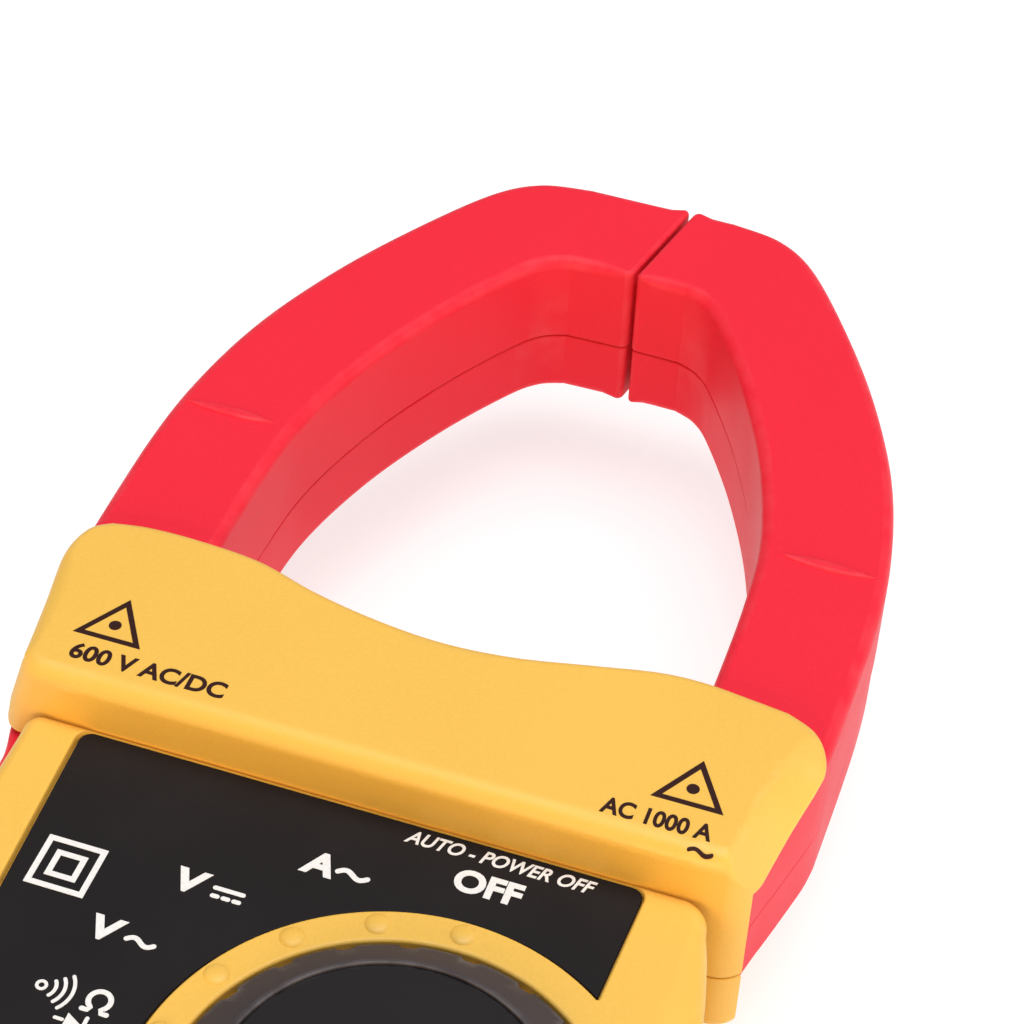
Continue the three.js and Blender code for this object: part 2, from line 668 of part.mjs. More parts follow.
add('moving_jaw_front', cut(moving.front, leverPocket(), pinBore(), springWell), RED);
add('moving_jaw_rear', cut(moving.rear, leverPocket(), pinBore(), rearWell), RED);
add('moving_jaw_core', jawCore(movingBand()), IRON);
add('moving_jaw_coil', jawCoil(-1), COPPER);
add('trigger_lever', cut(prism(leverOutline(), LEVER_Z0, LEVER_Z1), pinBore()), RED);
add('pivot_pin', cylinder(PIVOT, PIN_R, HEAD_BACK_Z + 1.3, HEAD_Z - 1.5), STEEL);
add('jaw_spring', helix(PIVOT, 7.4, 0.55, 39.5, 1.35, 1.75), STEEL);

add('dial_knob', dialKnob(), BLACK);
add('dial_cap', dialCap(), BLACK);
add('switch_rotor', switchRotor(), GREY);
add('rotor_wiper', prism(roundedRect(DIAL.x, DIAL.y - 7, 8, 3, 1), 31.3, 31.6), COPPER);
add('detent_spring', prism(roundedRect(DIAL.x, 10.5, 2.4, 4, 1), 31.3, 33.1), STEEL);

['hold_button', 'range_button', 'light_button'].forEach((name, i) => add(name, button(BUTTON_X[i]), GREY));
add('keypad_mat', prism(roundedRect(LABEL_X, BUTTON_Y, 62, 9, 3), PCB_Z1 + 0.1, PCB_Z1 + 0.4), RUBBER);
add('lcd_window', lcdWindow(), CLEAR);
add('lcd_module', box(LABEL_X - 29, LABEL_X + 29, LCD_Y - 13, LCD_Y + 13, 31.3, 33.1), GLASS);
add('main_board', mainBoard(), BOARD);
add('buzzer', cylinder(vec(-12, -18), 6, 26, 29.1), BLACK);

['com', 'volt'].forEach((name, i) => {
  add(`${name}_jack`, jackShell(JACK_X[i]), i ? RED : BLACK);
  add(`${name}_contact`, jackContact(JACK_X[i]), BRASS);
});

add('battery', battery(), GREY);
add('battery_snap', batterySnap(), BLACK);
add('battery_door', batteryDoor(), YELLOW);
add('battery_door_screw', doorScrew(), STEEL);
CASE_SCREWS.forEach(([x, y], i) => {
  const [back, end] = y > HEAD_LOW_Y ? [HEAD_BACK_Z + 1, HEAD_SCREW_END_Z] : [1, SCREW_END_Z];
  add(`case_screw_${i + 1}`, screw(x, y, back, end), STEEL);
});

export default meter;
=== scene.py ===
"""Looks of the clamp meter: moulded shells, printed panel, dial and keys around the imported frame.

Shapes are worked out in millimetres in the frame's own axes (+X right, +Y to the jaws, +Z out of the
front panel) and are turned into metres when a mesh is made.
"""

import math

import bmesh
import bpy
import numpy as np
from mathutils import Euler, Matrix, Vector


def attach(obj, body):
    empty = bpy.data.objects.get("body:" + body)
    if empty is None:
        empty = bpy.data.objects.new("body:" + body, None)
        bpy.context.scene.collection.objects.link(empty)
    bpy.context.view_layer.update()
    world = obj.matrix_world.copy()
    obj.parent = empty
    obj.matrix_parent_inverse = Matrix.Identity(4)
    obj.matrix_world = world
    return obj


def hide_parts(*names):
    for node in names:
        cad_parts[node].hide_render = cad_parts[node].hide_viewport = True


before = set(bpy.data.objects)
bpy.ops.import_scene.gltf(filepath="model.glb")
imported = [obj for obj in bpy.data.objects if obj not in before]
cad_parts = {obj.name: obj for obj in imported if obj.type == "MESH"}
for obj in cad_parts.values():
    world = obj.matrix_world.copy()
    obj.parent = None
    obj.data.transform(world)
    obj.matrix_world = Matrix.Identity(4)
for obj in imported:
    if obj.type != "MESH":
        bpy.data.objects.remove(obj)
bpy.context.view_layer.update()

MM = 0.001

# ---- driving dimensions, as on the frame (mm) ----

PART_Z = 22.5
CASE_Z = 36.8
LABEL_Z = 36.0
HEAD_Z = 44.15
HEAD_BACK_Z = 12.0
HEAD_LOW_Y = 42.4
GUARD_TOP_Y = 44.6
REAR_PLATE_X = 44.5
FLANK_SLOPE = math.tan(math.radians(16.5))
FOOT_Y = -88.0
FIT = 0.35
CASE_WALL = 2.4
SEAM_HALF = 0.12
PANEL_CUT = (30, 40)

JAW_FRONT_Z = 42.6
JAW_BACK_Z = 18.4
SEAM_Z = 28.6
JAW_WALL = 2.2
REAR_INSET = 0.12
JAW_TOP_Y = 161.0
WINDOW_TOP_Y = 143.4
TIP_OUTER_X = 4.6
TIP_INNER_X = 0.7
TIP_GAP = 0.3
SPLIT_SLOPE = (TIP_OUTER_X - TIP_INNER_X) / (JAW_TOP_Y - WINDOW_TOP_Y)
MARK_X = 41.4
MARK_Y = 96.0

PIVOT = (-31.0, 57.0)
ROOT_R = 11.5
LEVER_Z = (20.8, 30.4)
GRIP_GROOVES = 7

DIAL = (16.0, 0.0)
RING_R = 29.8
WELL_R = 25.4
WELL_Z = 34.8
DIAL_R = 25.0
DIAL_TOP_R = 19.2
NOTCHES = 21
STOPS = 5
DOT_RING_R = 27.8
STOP_STEP = math.radians(20.8)
FIRST_STOP = math.radians(90.5)
REST_ANGLE = FIRST_STOP + (STOPS - 1) * STOP_STEP

LABEL_X = -2.5
LABEL_TOP_HALF = 36.0
LABEL_FOOT_HALF = 31.0
LABEL_TOP_Y = 42.02
LABEL_FOOT_Y = -82.0
LCD = (LABEL_X, -58.0, 52.0, 24.0)
BUTTON_Y = -38.2
BUTTON_X = (-23.5, -2.5, 18.5)
BUTTON_SIZE = (12.0, 6.6)
CASE_KEY_GAP = 0.7
LABEL_KEY_GAP = 0.6
KEY_TOP_Z = 37.3
DOUBLE_SQUARE = (-31.7, 21.8)

JACK_X = (-13.0, 13.0)
CASE_SCREWS = ((-7, 56), (9, 56), (-30, -77), (30, -77))
DOOR = (0.0, -51.0, 62.0, 40.0)
DOOR_SCREW = (0.0, -34.6)


# ---- plane outlines ----


def arc(centre, radius, start, end, count):
    """Points on an arc, angles in degrees."""
    angles = np.radians(np.linspace(start, end, count + 1))
    return np.column_stack([centre[0] + radius * np.cos(angles), centre[1] + radius * np.sin(angles)])


def spline(points, count):
    """A smooth run through the points, of the same kind as the frame's outlines."""
    p = np.asarray(points, float)
    last = len(p) - 1
    run = []
    for t in np.linspace(0, last, count + 1):
        i = min(int(t), last - 1)
        w = t - i
        a, b, c, d = p[max(i - 1, 0)], p[i], p[i + 1], p[min(i + 2, last)]
        v0, v1 = (c - a) / 2, (d - b) / 2
        run.append((2 * b - 2 * c + v0 + v1) * w**3 + (-3 * b + 3 * c - 2 * v0 - v1) * w**2 + v0 * w + b)
    return np.array(run)


def mirror(points):
    return (np.asarray(points, float) * [-1, 1])[::-1]


def shorten(run, reach):
    """The run without its last stretch of that length, ending exactly there."""
    run = np.asarray(run, float)
    left = reach
    while len(run) > 2 and np.linalg.norm(run[-1] - run[-2]) <= left:
        left -= np.linalg.norm(run[-1] - run[-2])
        run = run[:-1]
    step = run[-2] - run[-1]
    length = np.linalg.norm(step)
    end = run[-1] + step * min(left / length, 0.95)
    return np.vstack([run[:-1], end])


def dense(run, step=2.0):
    """The run with points added on its long straight stretches."""
    points = [run[0]]
    for a, b in zip(run[:-1], run[1:]):
        count = max(1, int(np.ceil(np.linalg.norm(b - a) / step)))
        points += [a + (b - a) * k / count for k in range(1, count + 1)]
    return np.array(points)


def bend(start, corner, end, count):
    """Points of a round between two lines that meet at the corner: an arc where both reaches are alike."""
    a = (start - corner) / max(np.linalg.norm(start - corner), 1e-9)
    b = (end - corner) / max(np.linalg.norm(end - corner), 1e-9)
    weight = math.sqrt(max(0.0, (1 - float(a @ b)) / 2))
    points = []
    for t in np.linspace(0, 1, count + 1)[1:-1]:
        parts = (1 - t) ** 2, 2 * weight * t * (1 - t), t * t
        points.append((parts[0] * start + parts[1] * corner + parts[2] * end) / sum(parts))
    return points


def outline(*parts, round_points=6, step=2.0):
    """A closed anticlockwise outline from (run, reach) pairs: each reach rounds the corner after its run."""
    runs = [np.asarray(run, float) for run, reach in parts]
    reaches = [reach for run, reach in parts]
    corners = [run[-1].copy() for run in runs]
    trimmed = []
    for i, run in enumerate(runs):
        if reaches[i]:
            run = shorten(run, reaches[i])
        if reaches[i - 1]:
            run = shorten(run[::-1], reaches[i - 1])[::-1]
        trimmed.append(dense(run, step))
    points = []
    for i, run in enumerate(trimmed):
        points += list(run)
        after = trimmed[(i + 1) % len(trimmed)][0]
        if reaches[i]:
            points += bend(run[-1], corners[i], after, round_points)
    kept = [p for p, q in zip(points, points[-1:] + points[:-1]) if np.linalg.norm(p - q) > 1e-3]
    return np.array(kept)


def rounded_rect(x, y, width, height, radius, count=6):
    radius = min(radius, 0.498 * width, 0.498 * height)
    cx, cy = width / 2 - radius, height / 2 - radius
    corners = [(1, 1, 0), (-1, 1, 90), (-1, -1, 180), (1, -1, 270)]
    return np.vstack([arc((x + sx * cx, y + sy * cy), radius, a, a + 90, count) for sx, sy, a in corners])


def key_outline(x, gap):
    """The opening for the key at x, larger than the key by the gap."""
    return rounded_rect(x, BUTTON_Y, BUTTON_SIZE[0] + gap, BUTTON_SIZE[1] + gap, 3)


def circle(centre, radius, count=96):
    return arc(centre, radius, 0, 360, count)[:-1]


def inward(points):
    """Unit steps into an anticlockwise outline, lengthened at corners so that both edges move alike."""
    ahead = np.roll(points, -1, 0) - points
    ahead /= np.linalg.norm(ahead, axis=1)[:, None]
    behind = np.roll(ahead, 1, 0)
    normal = np.column_stack([-(ahead + behind)[:, 1], (ahead + behind)[:, 0]])
    normal /= np.linalg.norm(normal, axis=1)[:, None]
    spread = -normal[:, 0] * ahead[:, 1] + normal[:, 1] * ahead[:, 0]
    return normal / np.maximum(spread, 0.5)[:, None]


def ramp(value, start, end):
    """0 before start, 1 after end, smooth between; start may be above end."""
    t = np.clip((np.asarray(value, float) - start) / (end - start), 0, 1)
    return t * t * (3 - 2 * t)


# ---- solids ----


def new_object(name, bm):
    bmesh.ops.recalc_face_normals(bm, faces=bm.faces)
    mesh = bpy.data.meshes.new(name)
    bm.to_mesh(mesh)
    bm.free()
    mesh.polygons.foreach_set("use_smooth", [True] * len(mesh.polygons))
    obj = bpy.data.objects.new(name, mesh)
    bpy.context.scene.collection.objects.link(obj)
    return obj


def loft(name, rings, hollow=False):
    """A closed solid through rings of equally many points in mm; a hollow one is a tube."""
    bm = bmesh.new()
    loops = [[bm.verts.new(Vector(p) * MM) for p in ring] for ring in rings]
    count = len(loops[0])
    pairs = zip(loops, loops[1:] + loops[:1]) if hollow else zip(loops[:-1], loops[1:])
    for low, high in pairs:
        for i in range(count):
            j = (i + 1) % count
            bm.faces.new((low[i], low[j], high[j], high[i]))
    if not hollow:
        bm.faces.new(loops[0][::-1])
        bm.faces.new(loops[-1])
    return new_object(name, bm)


def rings_of(points, steps):
    """Rings at (inset, z) steps; both may differ from point to point."""
    normal = inward(points)
    rings = []
    for inset, z in steps:
        flat = points + normal * np.broadcast_to(inset, len(points))[:, None]
        rings.append(np.column_stack([flat, np.broadcast_to(z, len(points))]))
    return rings


def rim(z, width, height=None, up=True, count=6):
    """Steps round an edge: at the top of a solid going up, or at its foot."""
    height = width if height is None else height
    angles = np.linspace(0, math.pi / 2, count + 1)
    sign = 1 if up else -1
    steps = [(width * (1 - math.cos(a)), z - sign * height * (1 - math.sin(a))) for a in angles]
    return steps if up else steps[::-1]


def slab(name, points, z0, z1, low=0.3, high=0.3, count=5):
    """A solid between two heights with its rims rounded."""
    foot = rim(z0, low, up=False, count=count) if low else [(0, z0)]
    head = rim(z1, high, count=count) if high else [(0, z1)]
    return loft(name, rings_of(points, foot + head))


def prism(name, points, z0, z1):
    """A solid between two heights with sharp rims."""
    return loft(name, rings_of(points, [(0, z0), (0, z1)]))


def punch(name, points, z0, z1, lip=0.3, count=4):
    """A cutter whose mouth flares at z1, so that it leaves a rounded edge there."""
    angles = np.linspace(0, math.pi / 2, count + 1)
    mouth = [(-lip * (1 - math.cos(a)), z1 - lip * (1 - math.sin(a))) for a in angles]
    return loft(name, rings_of(points, [(0, z0)] + mouth + [(-lip, z1 + 12)]))


def lathe(name, profile, centre, count=96, wave=None, hollow=False):
    """A solid of revolution about Z; wave(angle, radius) may change the radius round the turn."""
    rings = []
    angles = np.linspace(0, 2 * math.pi, count, endpoint=False)
    for radius, z in profile:
        r = np.full(count, float(radius)) if wave is None else wave(angles, radius)
        rings.append(np.column_stack([
            centre[0] + r * np.cos(angles), centre[1] + r * np.sin(angles), np.full(count, z),
        ]))
    return loft(name, rings, hollow)


def tip_over(obj, centre):
    """Turns a lathed solid's axis from +Z to +Y about a point (x, z) in mm."""
    for vertex in obj.data.vertices:
        x, y, z = vertex.co
        vertex.co = (x + centre[0] * MM, z, centre[1] * MM - y)
    return obj


def turn(obj, angle, centre):
    """Turns a solid about Z round a point (x, y) in mm."""
    c, s = math.cos(angle), math.sin(angle)
    for vertex in obj.data.vertices:
        x, y = vertex.co.x - centre[0] * MM, vertex.co.y - centre[1] * MM
        vertex.co.x = centre[0] * MM + c * x - s * y
        vertex.co.y = centre[1] * MM + s * x + c * y
    return obj


def carve(obj, tools, operation="DIFFERENCE"):
    """Applies the tools to the solid one after another and removes them."""
    for tool in tools:
        modifier = obj.modifiers.new("cut", "BOOLEAN")
        modifier.operation = operation
        modifier.solver = "MANIFOLD"
        modifier.object = tool
        bpy.context.view_layer.update()
        result = bpy.data.meshes.new_from_object(obj.evaluated_get(bpy.context.evaluated_depsgraph_get()))
        obj.modifiers.clear()
        if len(result.polygons) in (0, len(obj.data.polygons)):
            raise RuntimeError(f"{obj.name}: {tool.name} did not cut it")
        obj.data = result
        bpy.data.objects.remove(tool)
    bm = bmesh.new()
    bm.from_mesh(obj.data)
    bmesh.ops.remove_doubles(bm, verts=bm.verts, dist=0.004 * MM)
    bmesh.ops.dissolve_degenerate(bm, edges=bm.edges, dist=0.004 * MM)
    bmesh.ops.dissolve_limit(bm, angle_limit=math.radians(0.05), verts=bm.verts, edges=bm.edges)
    bm.to_mesh(obj.data)
    bm.free()
    obj.data.polygons.foreach_set("use_smooth", [True] * len(obj.data.polygons))
    return obj


def merge(obj, *others):
    return carve(obj, others, "UNION")


def mark_wear_and_highlight(obj):
    """Stores how exposed each vertex is: 0 on flats and in hollows, up to 0.6 on convex edges; this masks
    the paled edges, which are partly edge wear and, on the knob, a painted highlight.
    """
    bm = bmesh.new()
    bm.from_mesh(obj.data)
    wear_and_highlight_mask = []
    for vertex in bm.verts:
        on_flat = max((face.calc_area() for face in vertex.link_faces), default=0) > 5 * MM * MM
        bends = [edge.calc_face_angle_signed(0) for edge in vertex.link_edges]
        wear_and_highlight_mask.append(0.0 if on_flat else min(0.6, max(0, max(bends + [0]) - 0.13) * 6))
    bm.free()
    obj.data.attributes.new("wear_and_highlight", "FLOAT", "POINT").data.foreach_set("value", wear_and_highlight_mask)


def settle(obj, sharp=32):
    """Marks the sharp edges and weights the normals, so that flat faces stay flat beside their rounds."""
    mark_wear_and_highlight(obj)
    obj.data.set_sharp_from_angle(angle=math.radians(sharp))
    modifier = obj.modifiers.new("normals", "WEIGHTED_NORMAL")
    modifier.keep_sharp = True
    modifier.weight = 60
    return obj


def finish_piece(obj, body, slot, material, *nodes, sharp=32):
    """Gives a piece its place in the model: body, material and the CAD nodes that it stands for. The slot
    argument is not used.
    """
    settle(obj, sharp)
    obj.data.materials.clear()
    obj.data.materials.append(material)
    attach(obj, body)
    if nodes:
        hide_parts(*nodes)
    return obj


# ---- materials ----


class Nodes:
    """A material's node tree with short calls for the few node kinds that are used here."""

    def __init__(self, name):
        self.material = bpy.data.materials.new(name)
        self.material.use_nodes = True
        self.tree = self.material.node_tree
        self.shader = self.tree.nodes["Principled BSDF"]
        self.place = self.add("ShaderNodeTexCoord").outputs["Object"]

    def add(self, kind, **values):
        node = self.tree.nodes.new(kind)
        for key, value in values.items():
            setattr(node, key, value)
        return node

    def link(self, a, b):
        self.tree.links.new(a, b)

    def noise(self, scale, detail=3.0, roughness=0.55, stretch=None):
        """Noise over the piece, scale in features per metre."""
        node = self.add("ShaderNodeTexNoise")
        node.inputs["Scale"].default_value = scale
        node.inputs["Detail"].default_value = detail
        node.inputs["Roughness"].default_value = roughness
        place = self.place
        if stretch:
            mapping = self.add("ShaderNodeMapping")
            mapping.inputs["Scale"].default_value = stretch
            self.link(place, mapping.inputs["Vector"])
            place = mapping.outputs["Vector"]
        self.link(place, node.inputs["Vector"])
        return node.outputs["Fac"]

    def remap(self, value, low, high, to_low, to_high):
        node = self.add("ShaderNodeMapRange")
        sockets = ("From Min", "From Max", "To Min", "To Max")
        for socket, number in zip(sockets, (low, high, to_low, to_high)):
            node.inputs[socket].default_value = number
        self.link(value, node.inputs["Value"])
        return node.outputs["Result"]

    def math(self, operation, a, b):
        node = self.add("ShaderNodeMath", operation=operation)
        for socket, value in zip(node.inputs, (a, b)):
            if isinstance(value, (int, float)):
                socket.default_value = value
            else:
                self.link(value, socket)
        return node.outputs["Value"]

    def blend(self, factor, a, b):
        """A mix of two colours, each a plain colour or a socket."""
        node = self.add("ShaderNodeMix", data_type="RGBA")
        self.link(factor, node.inputs["Factor"])
        for socket, value in zip((node.inputs[6], node.inputs[7]), (a, b)):
            if isinstance(value, tuple):
                socket.default_value = (*value, 1)
            else:
                self.link(value, socket)
        return node.outputs[2]

    def edges(self):
        """Up to 0.6 on outer edges, 0 on flats."""
        return self.add("ShaderNodeAttribute", attribute_name="wear_and_highlight").outputs["Fac"]

    def bump(self, height, distance):
        node = self.add("ShaderNodeBump")
        node.inputs["Distance"].default_value = distance
        self.link(height, node.inputs["Height"])
        self.link(node.outputs["Normal"], self.shader.inputs["Normal"])


def shade(colour, factor):
    return tuple(min(1.0, c * factor) for c in colour)


def moulded(name, colour, rough=0.4, grain=2600, depth=0.00002, variation=0.05, specular=0.5, wear_and_highlight=0.35):
    """Moulded plastic: fine spark-eroded grain, faint flow marks, polished edges paled towards a lighter
    tone: slight edge wear where the factor is small, a painted highlight where it is large.
    """
    n = Nodes(name)
    shader = n.shader
    shader.inputs["Specular IOR Level"].default_value = specular
    fine = n.noise(grain, 4, 0.6)
    broad = n.noise(38, 2, 0.5, (1.0, 0.5, 1.0))
    dark, light = shade(colour, 1 - variation), shade(colour, 1 + variation)
    tone = n.blend(n.remap(broad, 0.3, 0.7, 0, 1), dark, light)
    speck = n.blend(n.remap(fine, 0.42, 0.6, 0, 1), shade(colour, 0.96), shade(colour, 1.03))
    even = n.add("ShaderNodeMix", data_type="RGBA")
    even.inputs["Factor"].default_value = 0.5
    n.link(tone, even.inputs[6])
    n.link(speck, even.inputs[7])
    # Convex edges get a lighter colour: edge wear, and with a large factor (the knob) a painted highlight
    # along the rim.
    wear_and_highlight_mask = n.math("MULTIPLY", n.edges(), n.remap(n.noise(260, 3), 0.35, 0.65, 0, wear_and_highlight))
    pale_wear_and_highlight = tuple(c + (1 - c) * 0.12 for c in colour)
    n.link(n.blend(wear_and_highlight_mask, even.outputs[2], pale_wear_and_highlight), shader.inputs["Base Color"])
    gloss = n.math("ADD", n.remap(fine, 0.3, 0.7, rough - 0.04, rough + 0.05),
                   n.remap(n.noise(75, 3), 0.3, 0.7, -0.03, 0.04))
    n.link(n.math("SUBTRACT", gloss, n.math("MULTIPLY", wear_and_highlight_mask, 0.25)), shader.inputs["Roughness"])
    height = n.math("ADD", fine, n.math("MULTIPLY", broad, 0.8))
    n.bump(height, depth)
    return n.material


def printed_plate(name, colour):
    """The label: a matt polycarbonate film with a fine regular grain."""
    n = Nodes(name)
    n.shader.inputs["Specular IOR Level"].default_value = 0.14
    fine = n.noise(4200, 2, 0.5)
    cloud = n.noise(60, 3)
    n.link(n.blend(n.remap(cloud, 0.3, 0.7, 0, 1), shade(colour, 0.85), shade(colour, 1.2)),
           n.shader.inputs["Base Color"])
    n.link(n.math("ADD", n.remap(fine, 0.3, 0.7, 0.42, 0.56), n.remap(cloud, 0.3, 0.7, -0.03, 0.05)),
           n.shader.inputs["Roughness"])
    n.bump(fine, 0.00001)
    return n.material


def ink(name, colour, rough=0.5):
    """Screen-printed ink, a little uneven in cover."""
    n = Nodes(name)
    cover = n.noise(1800, 4, 0.7)
    tone = n.blend(n.remap(cover, 0.35, 0.6, 0, 1), shade(colour, 0.9), colour)
    n.link(tone, n.shader.inputs["Base Color"])
    n.shader.inputs["Specular IOR Level"].default_value = 0.2
    n.link(n.remap(cover, 0.3, 0.7, rough - 0.08, rough + 0.1), n.shader.inputs["Roughness"])
    n.bump(cover, 0.000006)
    return n.material


def metal(name, colour, rough=0.3, stretch=(1.0, 1.0, 1.0), grain=1500):
    """Turned or plated metal with fine tool marks and handling tarnish."""
    n = Nodes(name)
    n.shader.inputs["Metallic"].default_value = 1.0
    marks = n.noise(grain, 3, 0.6, stretch)
    tarnish = n.noise(220, 4)
    tone = n.blend(n.remap(tarnish, 0.4, 0.75, 0, 1), colour, shade(colour, 0.72))
    n.link(tone, n.shader.inputs["Base Color"])
    n.link(n.math("ADD", n.remap(marks, 0.3, 0.7, rough - 0.08, rough + 0.1),
                  n.remap(tarnish, 0.4, 0.8, 0, 0.12)), n.shader.inputs["Roughness"])
    n.bump(marks, 0.00001)
    return n.material


def board_green(name):
    """Solder mask over copper tracks."""
    n = Nodes(name)
    cells = n.add("ShaderNodeTexVoronoi", feature="DISTANCE_TO_EDGE")
    cells.inputs["Scale"].default_value = 260
    n.link(n.place, cells.inputs["Vector"])
    tracks = n.remap(cells.outputs["Distance"], 0.04, 0.07, 1, 0)
    n.link(n.blend(tracks, (0.008, 0.11, 0.035), (0.02, 0.2, 0.06)), n.shader.inputs["Base Color"])
    n.link(n.remap(n.noise(300), 0.3, 0.7, 0.28, 0.42), n.shader.inputs["Roughness"])
    n.bump(tracks, 0.00003)
    return n.material


def glass(name):
    """Clear moulded window with a faint tint."""
    n = Nodes(name)
    shader = n.shader
    shader.inputs["Base Color"].default_value = (0.93, 0.96, 0.95, 1)
    shader.inputs["Transmission Weight"].default_value = 1.0
    shader.inputs["IOR"].default_value = 1.49
    n.link(n.remap(n.noise(90, 4), 0.35, 0.7, 0.02, 0.07), shader.inputs["Roughness"])
    n.bump(n.noise(55, 2), 0.00002)
    return n.material


YELLOW = moulded("yellow_plastic", (0.835, 0.497, 0.083), rough=0.42, specular=0.35, variation=0.03)
RED = moulded("red_plastic", (0.83, 0.024, 0.048), rough=0.42, specular=0.12, variation=0.03)
BLACK = moulded("black_plastic", (0.0125, 0.0105, 0.0125), rough=0.5, specular=0.15, variation=0.05)
# The knob's edges are paled at full strength: a painted highlight line along its rim and notches, partly
# edge wear.
KNOB = moulded("knob_plastic", (0.06, 0.051, 0.057), rough=0.6, specular=0.15, variation=0.05, wear_and_highlight=1.0)
GREY = moulded("grey_plastic", (0.2, 0.21, 0.22), rough=0.5)
KEY = moulded("key_rubber", (0.3, 0.31, 0.32), rough=0.6, grain=3400, specular=0.35)
RUBBER = moulded("mat_rubber", (0.05, 0.05, 0.052), rough=0.7)
LABEL = printed_plate("label_film", (0.0105, 0.009, 0.0105))
WHITE_INK = ink("white_ink", (0.84, 0.84, 0.84))
BROWN_INK = ink("brown_ink", (0.03, 0.006, 0.004), 0.6)
STEEL = metal("steel", (0.62, 0.62, 0.63), 0.3)
BRASS = metal("brass", (0.72, 0.52, 0.2), 0.28)
IRON = metal("core_iron", (0.3, 0.3, 0.31), 0.45, (1.0, 1.0, 14.0), 500)
COPPER = metal("copper", (0.72, 0.36, 0.2), 0.35, (1.0, 12.0, 1.0), 400)
BOARD = board_green("board")
WINDOW = glass("window")
DISPLAY = printed_plate("display", (0.36, 0.41, 0.33))
SEGMENT = ink("segments", (0.02, 0.022, 0.024), 0.35)
WRAP = ink("battery_wrap", (0.035, 0.04, 0.05), 0.35)


# ---- outlines of the object ----

CREASE_X = 40.0
BODY_RIGHT = [
    (38.4, -74), (41, -55), (44.8, -30), (47.4, -8), (47.4, 10), (45.3, 26), (43.4, 34.5), (42, 39),
]
BODY_LEFT = [(-46, 38.6), (-46, 16), (-45.6, -4), (-43.6, -32), (-41, -55), (-38.4, -74)]


def body_outline():
    top_right, top_left = (41.6, HEAD_LOW_Y + 0.3), (-46.2, HEAD_LOW_Y + 0.3)
    right = np.vstack([[(38.4, FOOT_Y)], spline(BODY_RIGHT, 60), [top_right]])
    left = np.vstack([[top_left], spline(BODY_LEFT, 50), [(-38.4, FOOT_Y)]])
    return outline(
        ([(-38.4, FOOT_Y), (38.4, FOOT_Y)], 13), (right, 3.4), ([top_right, top_left], 2.4), (left, 13),
        round_points=12,
    )


def head_outline():
    low_right, low_left = (46.0, 43.0), (-50.6, 42.9)
    right = spline([
        low_right, (47.9, 52.4), (49.5, 59), (49.8, 61.6), (48.8, 64.6), (46.8, 67), (43.4, 68.6),
    ], 60)
    saddle = spline([
        (43.4, 68.6), (38.1, 69.3), (32.4, 69.9), (26.5, 69.6), (18, 67.7), (9, 65.7), (0, 65.0),
        (-9, 65.7), (-18, 67.5), (-26.5, 70.1), (-35, 70.9), (-42, 70.8), (-46.9, 69.9),
    ], 110)
    left = spline([(-46.9, 69.9), (-49.1, 68.2), (-50.2, 65), (-50.4, 61), (-50.5, 54), low_left], 40)
    run = np.vstack([right, saddle[1:], left[1:]])
    return outline(
        ([(-42, HEAD_LOW_Y), (38, HEAD_LOW_Y), low_right], 3.4), (run, 2.6),
        ([low_left, (-42, HEAD_LOW_Y)], 0), round_points=12, step=1.2,
    )


JAW_OUTER = spline([
    (49.8, 66), (49.82, 88), (48.5, 102), (45.2, 116), (39.5, 130), (32.4, 143),
    (24.6, 154.6), (18.4, 159.5), (11, JAW_TOP_Y),
], 96)
JAW_INNER = spline([
    (8.5, WINDOW_TOP_Y - 0.2), (11.8, 141.6), (15.2, 137.5), (21.6, 126.5), (27.6, 113), (31.6, 99),
    (32.8, 86), (33, 70),
], 88)


def jaw_runs(side):
    """The outer curve, the split face and the inner curve of a jaw, in anticlockwise order."""
    tip_out = (TIP_OUTER_X + side * TIP_GAP, JAW_TOP_Y)
    tip_in = (TIP_INNER_X + side * TIP_GAP, WINDOW_TOP_Y)
    if side > 0:
        return np.vstack([JAW_OUTER, [tip_out]]), [tip_out, tip_in], np.vstack([[tip_in], JAW_INNER])
    inner, outer = mirror(JAW_INNER), mirror(JAW_OUTER)
    return np.vstack([inner, [tip_in]]), [tip_in, tip_out], np.vstack([[tip_out], outer])


def fixed_jaw_outline():
    outer, split, inner = jaw_runs(1)
    root = spline([(45.4, 45.4), (46.3, 49.5), (47.2, 53), (48.4, 58), (49.4, 62.5), (49.8, 66)], 24)
    outer = np.vstack([[(21, 45.4)], root, outer[1:]])
    inner = np.vstack([inner, [(33, 63), (24, 60), (21, 56), (21, 45.4)]])
    return outline((outer, 1.0), (split, 1.0), (inner, 0), round_points=6)


def moving_jaw_outline():
    inner, split, outer = jaw_runs(-1)
    root = arc(PIVOT, ROOT_R, -116, 99, 48)
    inner = np.vstack([root, inner])
    outer = np.vstack([outer, [(-49.5, 56.5), (-48.9, 53.6), root[0]]])
    return outline((inner, 1.0), (split, 1.0), (outer, 0), round_points=6)


def band_outline(side, inset):
    """The curved part of a jaw alone, moved in by a wall."""
    first, split, last = jaw_runs(side)
    points = np.vstack([first[:-1:2], first[-1:], split[1:], last[1::2]])
    return points + inward(points) * inset


LEVER_OUTER = spline([
    (-44, 60), (-49.2, 53), (-50.4, 46), (-48.9, 38.8), (-50.2, 30), (-53.6, 20), (-55.1, 13.6),
], 60)


def lever_outline(grow=0.0):
    inner = spline([(-50.6, 10.4), (-48.6, 15), (-46.8, 24), (-43.6, 32), (-41, 39), (-37.6, 46)], 44)
    heel = arc(PIVOT, 9, -117, 144, 30)
    points = outline(
        (np.vstack([heel, LEVER_OUTER]), 1.6), ([LEVER_OUTER[-1], (-53.8, 10.2)], 1.0),
        ([(-53.8, 10.2), inner[0]], 1.2),
        (np.vstack([inner, heel[:1]]), 0), round_points=6,
    )
    return points - inward(points) * grow


